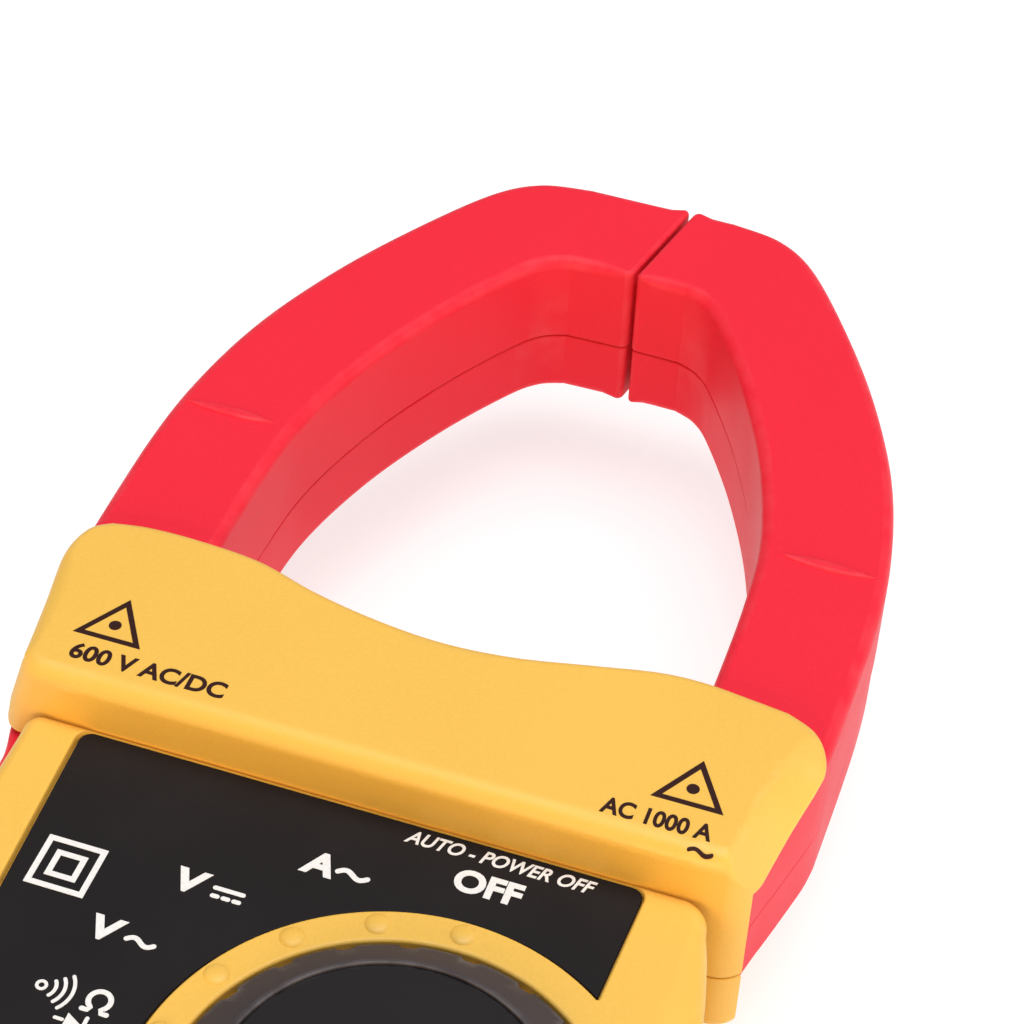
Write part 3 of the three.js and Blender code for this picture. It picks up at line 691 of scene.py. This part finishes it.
def label_outline(margin=0.0, ring_margin=0.0, side_margin=0.0):
    """The label's edge: a tapered plate with a round bite for the ring of the dial."""
    top, foot = LABEL_TOP_Y - margin, LABEL_FOOT_Y + side_margin
    slope = (LABEL_TOP_HALF - LABEL_FOOT_HALF) / (LABEL_TOP_Y - LABEL_FOOT_Y)

    def half(y):
        return LABEL_TOP_HALF - slope * (LABEL_TOP_Y - y) - side_margin

    bite = RING_R + ring_margin
    low_angle = -math.degrees(math.acos(min(1, (LABEL_X + half(-24) - DIAL[0]) / bite)))
    high_angle = math.degrees(math.acos(min(1, (LABEL_X + half(24) - DIAL[0]) / bite)))
    ring = arc(DIAL, bite, 360 + low_angle, high_angle, 110)
    corners = [(LABEL_X + half(top), top), (LABEL_X - half(top), top), (LABEL_X - half(foot), foot),
               (LABEL_X + half(foot), foot)]
    return outline(
        ([ring[-1], corners[0]], 2.0), (corners[0:2], 2.0), (corners[1:3], 3.0), (corners[2:4], 3.0),
        ([corners[3], ring[0]], 0.4), (ring, 0.4), round_points=6,
    )


# ---- shells of the case ----


def body_fields(points):
    """Width and height of the front rim round the body: broad and low on the right above the dial."""
    x, y = points.T
    facet = ramp(x, 38, 41) * ramp(y, 6, 20)
    width = 1.9 + facet * (np.clip(x - CREASE_X, 1.9, 5.8) - 1.9)
    return width, 1.9 + 0.3 * facet


def flank_edge(y):
    """Height of the right flank's lower edge, under which the fixed jaw shows."""
    return np.interp(y, [43, 61, 66], [37.6, 43.0, HEAD_Z])


def flank_crease(y):
    """Where the right flank starts on the head's face."""
    return np.interp(y, [41.9, 49.2, 54.4, 60.2, 66], [42.3, 43.2, 44.1, 44.9, 46.5])


def flank_foot(y):
    """Where the right flank meets its lower edge."""
    return np.interp(y, [43, 52.4, 59, 62, 66], [46.0, 47.9, 49.5, 49.8, 48.0])


def head_crown(points, inset):
    """How far the head's front lies below its face, for outline points moved inwards by an inset."""
    x, y = points.T
    right, left, top = ramp(x, 41, 46), ramp(x, -44, -47.5), ramp(y, 60, 66)
    width = 2.7 - 1.5 * np.maximum(top, right * ramp(y, 43, 47))
    height = 2.7 - 1.7 * np.maximum(top, right * ramp(y, 43, 47))
    height = height + left * ramp(y, 43.6, 46) * (1.22 - 0.2 * top - height)
    edge = height * (1 - np.sqrt(1 - np.clip(1 - inset / width, 0, 1) ** 2))
    moved = points + toward_spine(points) * inset
    reach = flank_foot(moved[:, 1]) - flank_crease(moved[:, 1])
    u = (moved[:, 0] - flank_crease(moved[:, 1])) / np.maximum(reach, 1)
    u = (u + np.sqrt(u * u + 0.012)) / 2
    flank = np.where(u < 0.03, 0, (HEAD_Z - flank_edge(moved[:, 1])) * np.minimum(u, 1.2))
    return (edge ** 3 + flank ** 3) ** (1 / 3)


def toward_spine(points):
    """Unit steps from the head's outline towards its middle line."""
    step = np.column_stack([np.clip(points[:, 0], -37, 37), np.full(len(points), 56.0)]) - points
    return step / np.linalg.norm(step, axis=1)[:, None]


def head_rings(points):
    """The head's rings from its seam to its face; the left end leans outwards going down."""
    lean = np.interp(points[:, 1], [43, 46, 49, 52, 55, 58, 61, 64], [3.5, 3.15, 2.7, 2.2, 1.7, 1.1, 0.5, 0])
    lean = lean * ramp(points[:, 0], -36, -47.5)
    steps = rim(PART_Z + SEAM_HALF, 0.3, up=False, count=3) + [(0, z) for z in (28, 32, 35)]
    rings = rings_of(points, steps)
    for ring in rings:
        ring[:, 0] += np.maximum(lean - FLANK_SLOPE * (HEAD_Z - ring[:, 2]), 0)
    for inset in (0, 0.08, 0.25, 0.5, 0.8, 1.2, 1.7, 2.3, 2.9, 3.6, 4.4, 5.4, 6.6, 8.0):
        drop = np.zeros(len(points)) if inset > 6 else head_crown(points, inset)
        ring = np.column_stack([points + toward_spine(points) * inset, HEAD_Z - drop])
        ring[:, 0] += np.maximum(lean - FLANK_SLOPE * drop, 0) * (1 - inset / 8)
        rings.append(ring)
    return rings


def roof(name, lift):
    """Cuts the fixed jaw back to lie under the head's right flank."""
    rings = []
    for y in (43.5, 47, 50, 53, 56, 59, 62):
        inner, outer = flank_crease(y) - 0.4, flank_foot(y)
        high, low = JAW_FRONT_Z + lift, min(flank_edge(y) - 0.9, JAW_FRONT_Z) + lift
        slope = (low - high) / (outer - inner)
        xs = np.array([inner, outer + 4, outer + 4, inner])
        zs = [high, high + slope * (outer + 4 - inner), 60, 60]
        rings.append(np.column_stack([xs, np.full(4, y), zs]))
    return loft(name, rings)


def room_outline(body):
    """The inside of the case within its wall, below the head."""
    inside = body + inward(body) * CASE_WALL
    return inside[inside[:, 1] < HEAD_LOW_Y - 0.2]


def bay_cutters():
    """The rooms inside the head for the two jaws and the pocket for the lever."""
    z0, z1 = JAW_BACK_Z - FIT, JAW_FRONT_Z + FIT
    swing = prism("swing", circle(PIVOT, ROOT_R + 0.5), z0, z1)
    side = prism("side", np.array([
        (-70, 45.0), (PIVOT[0], 45.0), (PIVOT[0], 66), (-31.8, 70), (-31.8, 90), (-70, 90)]), z0, z1)
    fixed = fixed_jaw_outline()
    socket = prism("socket", fixed - inward(fixed) * FIT, z0, z1)
    carve(socket, [roof("socket_roof", FIT)])
    y = np.array([GUARD_TOP_Y, 47, 50, 53, 56, 59, 61, 90])
    top = np.minimum(flank_edge(y) - 0.3, z1)
    low = np.column_stack([np.full(len(y), 44.0), y, np.full(len(y), z0)])
    high = np.column_stack([np.full(len(y), 44.0), y, top])
    ring = np.vstack([low, high[::-1]])
    open_side = loft("open", [ring, ring + [26, 0, 0]])
    hollow = prism("hollow", rounded_rect(1, 54, 26, 17, 2), JAW_BACK_Z + 1, HEAD_Z - CASE_WALL)
    pocket = prism("pocket", np.array([(-70, 4), (-27.3, 4), (-27.3, 46), (-70, 46)]), 19.2, 31.4)
    return [swing, side, socket, open_side, hollow, pocket]


def front_case():
    body = body_outline()
    width, height = body_fields(body)
    steps = rim(PART_Z + SEAM_HALF, 0.3, up=False, count=3) + rim(CASE_Z, width, height, count=8)
    shell = loft("front_shell", rings_of(body, steps))
    head = head_outline()
    crown = loft("front_crown", head_rings(head))
    merge(shell, crown)
    cutters = [prism("inside", room_outline(body), PART_Z - 1, 33.4)] + bay_cutters()
    cutters.append(punch("recess", label_outline(side_margin=-0.5), LABEL_Z - 0.7, CASE_Z, 0.35))
    cutters.append(punch("well", circle(DIAL, WELL_R, 144), WELL_Z, CASE_Z, 0.45))
    cutters.append(prism("hub", circle(DIAL, 8), *PANEL_CUT))
    cutters.append(prism("window", rounded_rect(*LCD, 2), *PANEL_CUT))
    for x in BUTTON_X:
        cutters.append(prism("key", key_outline(x, CASE_KEY_GAP), *PANEL_CUT))
    cutters += socket_holes()
    carve(shell, cutters)
    dots = []
    dome = [(1.55, -0.4), (1.55, 0), (1.4, 0.16), (1.1, 0.3), (0.6, 0.4), (0.2, 0.43)]
    for i in range(STOPS):
        angle = FIRST_STOP + i * STOP_STEP
        centre = (DIAL[0] + DOT_RING_R * math.cos(angle), DIAL[1] + DOT_RING_R * math.sin(angle))
        dots.append(lathe("dot", [(radius, CASE_Z + rise) for radius, rise in dome], centre, 32))
    merge(shell, *dots)
    shell.name = "front_shell"
    return finish_piece(shell, "case", "yellow_shell", YELLOW, "front_case")


def socket_holes():
    """The two bores in the foot for the input sockets."""
    holes = []
    for x in JACK_X:
        bore = lathe("bore", [(7.35, FOOT_Y - 2), (7.35, FOOT_Y + 21)], (0, 0), 72)
        holes.append(tip_over(bore, (x, PART_Z)))
    return holes


def rear_case():
    body = body_outline()
    edge = 4.0 - 2.1 * ramp(body[:, 1], 28, 38)
    steps = rim(0, edge, up=False, count=8) + rim(PART_Z - SEAM_HALF, 0.3, count=3)
    shell = loft("rear_shell", rings_of(body, steps))
    head = head_outline()
    crown = slab("rear_crown", head, HEAD_BACK_Z, PART_Z - SEAM_HALF, 2.2, 0.3)
    merge(shell, crown)
    cutters = [prism("inside", room_outline(body), CASE_WALL, PART_Z + 1)] + bay_cutters() + socket_holes()
    cutters.append(prism("open_back", np.array([
        (REAR_PLATE_X, GUARD_TOP_Y), (70, GUARD_TOP_Y), (70, 90), (REAR_PLATE_X, 90)]), 0, JAW_BACK_Z))
    doorway = rounded_rect(*DOOR, 3)
    cutters.append(prism("doorway", doorway, -1, CASE_WALL))
    for x, y in CASE_SCREWS:
        back = HEAD_BACK_Z if y > HEAD_LOW_Y else 0
        cutters.append(prism("screw_hole", circle((x, y), 3.4, 48), back - 1, back + 3))
    carve(shell, cutters)
    return finish_piece(shell, "case", "yellow_shell", YELLOW, "rear_case")


# ---- jaws ----


def jaw_shell(name, points, side, front, cutters=()):
    """Half a jaw: rounded at its face, finely rounded at the seam, hollow for the core, less the cutters."""
    from_split = np.abs(points[:, 0] - TIP_INNER_X - (points[:, 1] - WINDOW_TOP_Y) * SPLIT_SLOPE)
    near_split = ramp(from_split, 3.5, 0.8) * (points[:, 1] > WINDOW_TOP_Y - 3)
    edge = 1.7 - 1.0 * near_split
    if front:
        steps = rim(SEAM_Z + SEAM_HALF, 0.25, up=False, count=3) + rim(JAW_FRONT_Z, edge, count=8)
    else:
        steps = rim(JAW_BACK_Z, edge, up=False, count=8) + rim(SEAM_Z - SEAM_HALF, 0.35, count=3)
        steps = [(inset + REAR_INSET, z) for inset, z in steps]
    shell = loft(name, rings_of(points, steps))
    channel = band_outline(side, JAW_WALL + 0.3)
    carve(shell, [prism("channel", channel, JAW_BACK_Z + JAW_WALL, JAW_FRONT_Z - JAW_WALL), *cutters])
    return shell


def jaw_mark(side):
    """The long lens that stands a little proud of the jaw's face."""
    half, rise = 6.6, 0.85
    x = np.linspace(-half, half, 25)
    y = rise * (1 - (x / half) ** 2)
    lens = np.vstack([np.column_stack([x, -y]), np.column_stack([x[::-1][1:-1], y[::-1][1:-1]])])
    rings = [np.column_stack([lens * scale + (side * MARK_X, MARK_Y), np.full(len(lens), z)])
             for scale, z in [(1, JAW_FRONT_Z - 0.5), (1, JAW_FRONT_Z), (0.93, JAW_FRONT_Z + 0.16),
                              (0.75, JAW_FRONT_Z + 0.28), (0.4, JAW_FRONT_Z + 0.34)]]
    return loft("mark", rings)


def jaws():
    fixed, moving = fixed_jaw_outline(), moving_jaw_outline()
    front = jaw_shell("fixed_jaw_face", fixed, 1, True, [roof("jaw_roof", 0)])
    merge(front, jaw_mark(1))
    finish_piece(front, "case", "red_shell", RED, "fixed_jaw_front")
    rear = jaw_shell("fixed_jaw_back", fixed, 1, False)
    finish_piece(rear, "case", "red_shell", RED, "fixed_jaw_rear")

    def pin_and_lever():
        return [prism("pin", circle(PIVOT, 3.15, 48), 0, 60),
                prism("lever_room", lever_outline(0.3), LEVER_Z[0] - 0.3, LEVER_Z[1] + 0.3)]

    spring_well = prism("spring_well", circle(PIVOT, 9.5), 38.5, 60)
    front = jaw_shell("moving_jaw_face", moving, -1, True, [*pin_and_lever(), spring_well])
    merge(front, jaw_mark(-1))
    finish_piece(front, "moving_jaw", "red_shell", RED, "moving_jaw_front")
    rear_well = prism("rear_well", circle(PIVOT, 5.6), 0, JAW_BACK_Z + 2)
    rear = jaw_shell("moving_jaw_back", moving, -1, False, [*pin_and_lever(), rear_well])
    finish_piece(rear, "moving_jaw", "red_shell", RED, "moving_jaw_rear")


def grip_grooves():
    """Centres of the shallow grooves in the lever's thumb rest, just outside its edge."""
    edge = LEVER_OUTER[::-1]
    heights = np.linspace(33, 16.5, GRIP_GROOVES)
    return [(np.interp(y, edge[:, 1], edge[:, 0]) - 0.45, y) for y in heights]


def lever():
    grip = slab("lever_grip", lever_outline(), *LEVER_Z, 0.9, 0.9)
    ribs = [prism("groove", circle((x, y), 0.9, 24), 0, 60) for x, y in grip_grooves()]
    carve(grip, [prism("pin", circle(PIVOT, 3.1, 48), 0, 60)] + ribs)
    finish_piece(grip, "moving_jaw", "red_shell", RED, "trigger_lever")


# ---- panel ----


def label():
    """The black plate: clear of its recess's sides and the dial's ring, its top edge let into the wall."""
    points = label_outline(margin=-0.25, ring_margin=0.5, side_margin=-0.2)
    plate = loft("label_film", rings_of(points, [(0, LABEL_Z - 0.5)] + rim(LABEL_Z, 0.15, count=3)))
    cutters = [prism("window", rounded_rect(LCD[0], LCD[1], LCD[2] - 0.1, LCD[3] - 0.1, 2), *PANEL_CUT)]
    for x in BUTTON_X:
        cutters.append(prism("key", key_outline(x, LABEL_KEY_GAP), *PANEL_CUT))
    carve(plate, cutters)
    finish_piece(plate, "case", "label", LABEL, "label_plate")


def dial():
    step = 2 * math.pi / NOTCHES

    def notched(angles, radius):
        phase = np.abs((angles / step + 0.5) % 1 - 0.5)
        bite = DIAL_R - 0.85 * ramp(phase, 0.17, 0.09)
        return np.minimum(radius, bite)

    profile = [
        (7.6, 33.3), (7.6, WELL_Z + FIT), (24.7, WELL_Z + FIT), (DIAL_R, WELL_Z + 0.6), (DIAL_R, 36.4),
        (24.9, 36.65), (24.65, 36.9), (24.2, 37.2), (22.0, 38.9), (20.0, 40.45), (19.7, 40.66), (19.4, 40.8),
        (DIAL_TOP_R, 40.85), (19.12, 40.82), (19.06, 40.7), (19.05, 38.4),
    ]
    knob = lathe("dial_skirt", profile, DIAL, NOTCHES * 24, notched)
    finish_piece(knob, "dial", "black_plastic", KNOB, "dial_knob", sharp=40)
    edge = [(18.7, 38.7), (18.9, 38.9), (18.9, 40.45), (18.85, 40.58), (18.7, 40.66), (18.5, 40.7)]
    cap = lathe("dial_face", edge, DIAL, 144)
    bar = slab("bar", rounded_rect(DIAL[0], DIAL[1], 29, 6, 2.4, 10), 39, 41.6, 0, 0.8)
    merge(cap, turn(bar, REST_ANGLE, DIAL))
    finish_piece(cap, "dial", "black_plastic", BLACK, "dial_cap")
    line = slab("dial_pointer", rounded_rect(DIAL[0] + 9.5, DIAL[1], 8, 1.1, 0.5), 41.5, 41.62, 0, 0.05)
    finish_piece(turn(line, REST_ANGLE, DIAL), "dial", "black_plastic", WHITE_INK)


def keys():
    for x, name in zip(BUTTON_X, ("hold", "range", "light")):
        shape = rounded_rect(x, BUTTON_Y, *BUTTON_SIZE, 2.8, 10)
        key = slab(f"{name}_key", shape, 32.8, KEY_TOP_Z, 0, 0.9, 8)
        finish_piece(key, f"{name}_key", "grey_plastic", KEY, f"{name}_button")


def sockets():
    """The two input sockets in the foot: a shrouded tube with a rounded mouth round each contact."""
    profile = [
        (7, 20.3), (7, 1.0), (6.9, 0.6), (6.6, 0.36), (6.2, 0.3), (5.4, 0.3), (5.1, 0.36), (4.85, 0.55),
        (4.7, 0.9), (4.7, 18.7), (2.9, 18.7), (2.9, 20.3),
    ]
    for x, name, material in zip(JACK_X, ("com", "volt"), (BLACK, RED)):
        tube = lathe(f"{name}_socket", [(r, FOOT_Y + y) for r, y in profile], (0, 0), 72, hollow=True)
        slot = "black_plastic" if material is BLACK else "red_shell"
        finish_piece(tip_over(tube, (x, PART_Z)), "case", slot, material, f"{name}_jack")


def door():
    """The battery door, with finger grooves and a sunk hole for its screw."""
    x, y, width, height = DOOR
    panel = slab("door_panel", rounded_rect(x, y, width - 0.7, height - 0.7, 2.7), 0, 2.2, 0.5, 0.2)
    grooves = [rounded_rect(x, y - 13 + 3 * k, 28 - 3 * k, 1.5, 0.6) for k in range(5)]
    cutters = [slab("groove", points, -1, 0.7, 0, 0.3) for points in grooves]
    cutters.append(prism("screw_hole", circle(DOOR_SCREW, 3.2, 48), -1, 3))
    carve(panel, cutters)
    finish_piece(panel, "case", "yellow_shell", YELLOW, "battery_door")


def display():
    """The window over the display, and a reading of zero in seven-segment figures."""
    x, y, width, height = LCD
    edge = rounded_rect(x, y, width - 0.6, height - 0.6, 1.7, 8)
    pane = slab("display_window", edge, 33.7, LABEL_Z + 0.2, 0.1, 0.45)
    finish_piece(pane, "case", "window", WINDOW, "lcd_window")
    ink_layer = Print()
    tall, wide, gap, slant = 6.2, 6.0, 9.4, 0.1
    corners = [(0, 1), (1, 1), (1, 0), (1, -1), (0, -1), (0, 0)]
    for k in range(4):
        left = x - 21 + gap * k
        for (a, b), (c, d) in zip(corners, corners[1:] + corners[:1]):
            ends = np.array([(left + wide * a, y + tall * b), (left + wide * c, y + tall * d)])
            ends = ends + (ends[::-1] - ends) * 0.13
            ends[:, 0] += slant * (ends[:, 1] - y)
            ink_layer.line(ends, 1.1)
    ink_layer.line([(x - 3.2, y - tall), (x - 3.1, y - tall)], 1.3)
    ink_layer.word("V", x + 20, y + 3, 4, 4)
    ink_layer.wave(x + 20, y - 4, 4.4, 0.8, 0.7)
    ink_layer.piece("display_figures", 33.12, "case", SEGMENT)


# ---- printing ----


class Print:
    """A thin layer of ink, gathered from words and lines in mm on a flat face."""

    THICK = 0.05

    def __init__(self):
        self.bm = bmesh.new()

    def polygon(self, outer, inner=None):
        """A flat shape; with an inner outline of as many points, a frame between the two."""
        loops = [outer] if inner is None else [outer, inner]
        rows = [[[self.bm.verts.new((*p, z)) for p in loop] for z in (0, self.THICK)] for loop in loops]
        count = len(outer)
        for low, high in rows:
            for i in range(count):
                self.bm.faces.new((low[i], low[(i + 1) % count], high[(i + 1) % count], high[i]))
        for level in (0, 1):
            if inner is None:
                self.bm.faces.new(rows[0][level])
                continue
            outside, inside = rows[0][level], rows[1][level]
            for i in range(count):
                j = (i + 1) % count
                self.bm.faces.new((outside[i], outside[j], inside[j], inside[i]))

    def line(self, points, width):
        """A stroke with round ends."""
        p = np.asarray(points, float)
        along = np.gradient(p, axis=0)
        along /= np.linalg.norm(along, axis=1)[:, None]
        side = np.column_stack([-along[:, 1], along[:, 0]]) * width / 2
        start, end = (math.degrees(math.atan2(d[1], d[0])) for d in (along[0], along[-1]))
        self.polygon(np.vstack([
            (p - side), arc(p[-1], width / 2, end - 90, end + 90, 8)[1:-1],
            (p + side)[::-1], arc(p[0], width / 2, start + 90, start + 270, 8)[1:-1],
        ]))

    def frame(self, corners, width):
        """A closed outline of straight sides."""
        corners = np.asarray(corners, float)
        step = inward(corners)
        self.polygon(corners, corners + step * width)

    def wave(self, x, y, width, rise, thick):
        t = np.linspace(-0.5, 0.5, 25)
        self.line(np.column_stack([x + width * t, y - rise * np.sin(2 * math.pi * t)]), thick)

    def ohm(self, x, y, thick, scale=1.0):
        bow = arc((0, 0.2), 1.3, 240, -60, 24)
        points = np.vstack([[(-1.5, -1.4), (-0.85, -1.4)], bow, [(0.85, -1.4), (1.5, -1.4)]])
        self.line(points * scale + (x, y), thick)

    def word(self, text, x, y, width, height, shear=0.0, weight=0.0):
        """Lettering that fills a box about a point; weight thickens its strokes."""
        curve = bpy.data.curves.new("word", "FONT")
        curve.body = text
        curve.shear = shear
        curve.offset = weight
        curve.extrude = 0.01
        curve.resolution_u = 5
        holder = bpy.data.objects.new("word", curve)
        mesh = bpy.data.meshes.new_from_object(holder)
        points = np.array([v.co for v in mesh.vertices])
        low, high = points.min(0), points.max(0)
        scale = np.array([width, height, self.THICK]) / (high - low)
        shift = np.array([x - width / 2, y - height / 2, 0])
        mesh.vertices.foreach_set("co", ((points - low) * scale + shift).ravel())
        self.bm.from_mesh(mesh)
        bpy.data.objects.remove(holder)
        bpy.data.curves.remove(curve)
        bpy.data.meshes.remove(mesh)

    def piece(self, name, z, body, material, drape=None):
        """Puts the ink on its face; drape(y) is how far the face lies lower there."""
        bmesh.ops.remove_doubles(self.bm, verts=self.bm.verts, dist=0.0005)
        for vertex in self.bm.verts:
            sink = drape(vertex.co.y) if drape else 0.0
            vertex.co.z += z - sink
            vertex.co *= MM
        obj = new_object(name, self.bm)
        obj.data.polygons.foreach_set("use_smooth", [False] * len(obj.data.polygons))
        obj.data.materials.append(material)
        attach(obj, body)


def label_print():
    """Names of the dial's positions, the keys and the sockets."""
    ink_layer = Print()
    ink_layer.word("AUTO - POWER OFF", 16.1, 40.25, 23.8, 2.0, 0.3, 0.022)
    ink_layer.word("OFF", 16.0, 36.1, 8.4, 3.5, 0, 0.042)
    ink_layer.word("A", -3.9, 32.5, 4.2, 3.5, 0.1, 0.042)
    ink_layer.wave(0.4, 32.2, 3.7, 0.45, 0.7)
    ink_layer.word("V", -17.0, 24.8, 4.2, 3.5, 0.1, 0.042)
    ink_layer.line([(-14.0, 24.9), (-10.5, 24.9)], 0.6)
    for k in range(3):
        ink_layer.line([(-13.9 + 1.35 * k, 23.7), (-13.3 + 1.35 * k, 23.7)], 0.6)
    ink_layer.word("V", -23.4, 14.9, 4.2, 3.5, 0.1, 0.042)
    ink_layer.wave(-19.0, 14.4, 3.4, 0.42, 0.65)
    ink_layer.ohm(-19.9, 5.0, 0.65)
    ring = circle((-27.0, 5.0), 0.75, 24)
    ink_layer.polygon(ring, ring + inward(ring) * 0.4)
    for k in range(3):
        ink_layer.line(arc((-27.0, 5.0), 1.7 + 1.05 * k, -38, 38, 12), 0.45)
    ink_layer.line([(-23.7, 1.4), (-22.8, 1.4)], 0.45)
    ink_layer.polygon(np.array([(-22.5, 0.3), (-20.6, 1.4), (-22.5, 2.5)]))
    ink_layer.line([(-20.2, 0.3), (-20.2, 2.5)], 0.5)
    ink_layer.line([(-19.6, 1.4), (-18.4, 1.4)], 0.45)
    for size in (7.6, 4.0):
        x, y = DOUBLE_SQUARE
        half = size / 2
        corners = [(x - half, y - half), (x + half, y - half), (x + half, y + half), (x - half, y + half)]
        ink_layer.frame(corners, 0.75)
    for x, text in zip(BUTTON_X, ("HOLD", "RANGE", "LIGHT")):
        ink_layer.word(text, x, BUTTON_Y + 6.2, 1.75 * len(text), 1.9, 0, 0.02)
    ink_layer.word("COM", JACK_X[0], -77.6, 6.4, 2.2, 0, 0.025)
    ink_layer.word("V", JACK_X[1] - 1.8, -77.6, 2.4, 2.2, 0, 0.03)
    ink_layer.ohm(JACK_X[1] + 1.9, -77.6, 0.4, 0.7)
    ink_layer.piece("label_print", LABEL_Z, "case", WHITE_INK)


def head_print():
    """The ratings and two plain outline marks on the head."""
    ink_layer = Print()
    ink_layer.word("600 V AC/DC", -32.0, 47.3, 20.4, 2.7, 0, 0.03)
    ink_layer.word("AC 1000 A", 33.1, 46.4, 13.6, 2.6, 0, 0.03)
    ink_layer.wave(39.2, 43.6, 2.8, 0.22, 0.42)
    for x, y in ((-38.8, 50.1), (35.8, 49.6)):
        ink_layer.frame([(x - 4.5, y), (x + 4.5, y), (x, y + 7.4)], 0.72)
        ink_layer.polygon(circle((x, y + 2.7), 0.8, 20))

    def drape(y):
        inset = np.clip(1 - (y - HEAD_LOW_Y) / 2.7, 0, 1)
        return 2.7 * (1 - math.sqrt(1 - inset**2))

    ink_layer.piece("head_print", HEAD_Z - 0.01, "case", BROWN_INK, drape)


# ---- carried-over nodes ----

CAD_LOOKS = {
    IRON: ("fixed_jaw_core", "moving_jaw_core"),
    COPPER: ("fixed_jaw_coil", "moving_jaw_coil", "rotor_wiper"),
    STEEL: ("pivot_pin", "jaw_spring", "detent_spring", "battery_door_screw", "fixed_jaw_screw_1",
            "fixed_jaw_screw_2", "case_screw_1", "case_screw_2", "case_screw_3", "case_screw_4"),
    GREY: ("switch_rotor",),
    RUBBER: ("keypad_mat",),
    BOARD: ("main_board",),
    BLACK: ("buzzer", "battery_snap"),
    BRASS: ("com_contact", "volt_contact"),
    DISPLAY: ("lcd_module",),
    WRAP: ("battery",),
}


def dress_nodes():
    for material, names in CAD_LOOKS.items():
        for name in names:
            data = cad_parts[name].data
            data.materials.clear()
            data.materials.append(material)


# ---- stage ----


def stage():
    bm = bmesh.new()
    bmesh.ops.create_grid(bm, x_segments=4, y_segments=4, size=4)
    floor = new_object("floor", bm)
    floor.location.z = -0.0001
    n = Nodes("floor")
    n.shader.inputs["Roughness"].default_value = 0.7
    n.link(n.blend(n.noise(3), (0.37, 0.37, 0.37), (0.4, 0.4, 0.4)), n.shader.inputs["Base Color"])
    n.shader.inputs["Emission Color"].default_value = (1, 1, 1, 1)
    n.shader.inputs["Emission Strength"].default_value = 0.7
    floor.data.materials.append(n.material)

    world = bpy.data.worlds.new("studio")
    world.use_nodes = True
    world.node_tree.nodes["Background"].inputs["Color"].default_value = (1, 1, 1, 1)
    world.node_tree.nodes["Background"].inputs["Strength"].default_value = 0.3
    bpy.context.scene.world = world

    lamps = [
        ("top", (0.1, 0.1, 1.3), (0, 0.05, 0), 1.0, 13.6, (1, 1, 1)),
        ("front", (0.05, -0.55, 0.16), (0, 0.03, 0.04), 0.3, 2.6, (1.0, 0.68, 0.36)),
        ("right", (1.1, 0.2, 0.4), (0, 0.05, 0), 0.8, 3.5, (1, 1, 1)),
    ]
    for name, place, target, size, power, colour in lamps:
        lamp = bpy.data.lights.new(name, "AREA")
        lamp.shape = "SQUARE"
        lamp.size = size
        lamp.energy = power
        lamp.color = colour
        obj = bpy.data.objects.new(name, lamp)
        obj.location = place
        obj.rotation_euler = (Vector(target) - Vector(place)).to_track_quat("-Z", "Y").to_euler()
        bpy.context.scene.collection.objects.link(obj)

    scene = bpy.context.scene
    scene.view_settings.view_transform = "Standard"
    camera = bpy.data.objects.new("camera", bpy.data.cameras.new("camera"))
    camera.location = (0.08056, -0.17937, 0.31236)
    camera.rotation_euler = Euler(tuple(math.radians(a) for a in (46.2511, -2.1813, 18.6481)), "XYZ")
    camera.data.sensor_width = 36
    camera.data.lens = 105.47
    camera.data.clip_start = 0.01
    scene.collection.objects.link(camera)
    scene.camera = camera


stage()
dress_nodes()
front_case()
rear_case()
jaws()
lever()
label()
dial()
keys()
sockets()
door()
display()
label_print()
head_print()
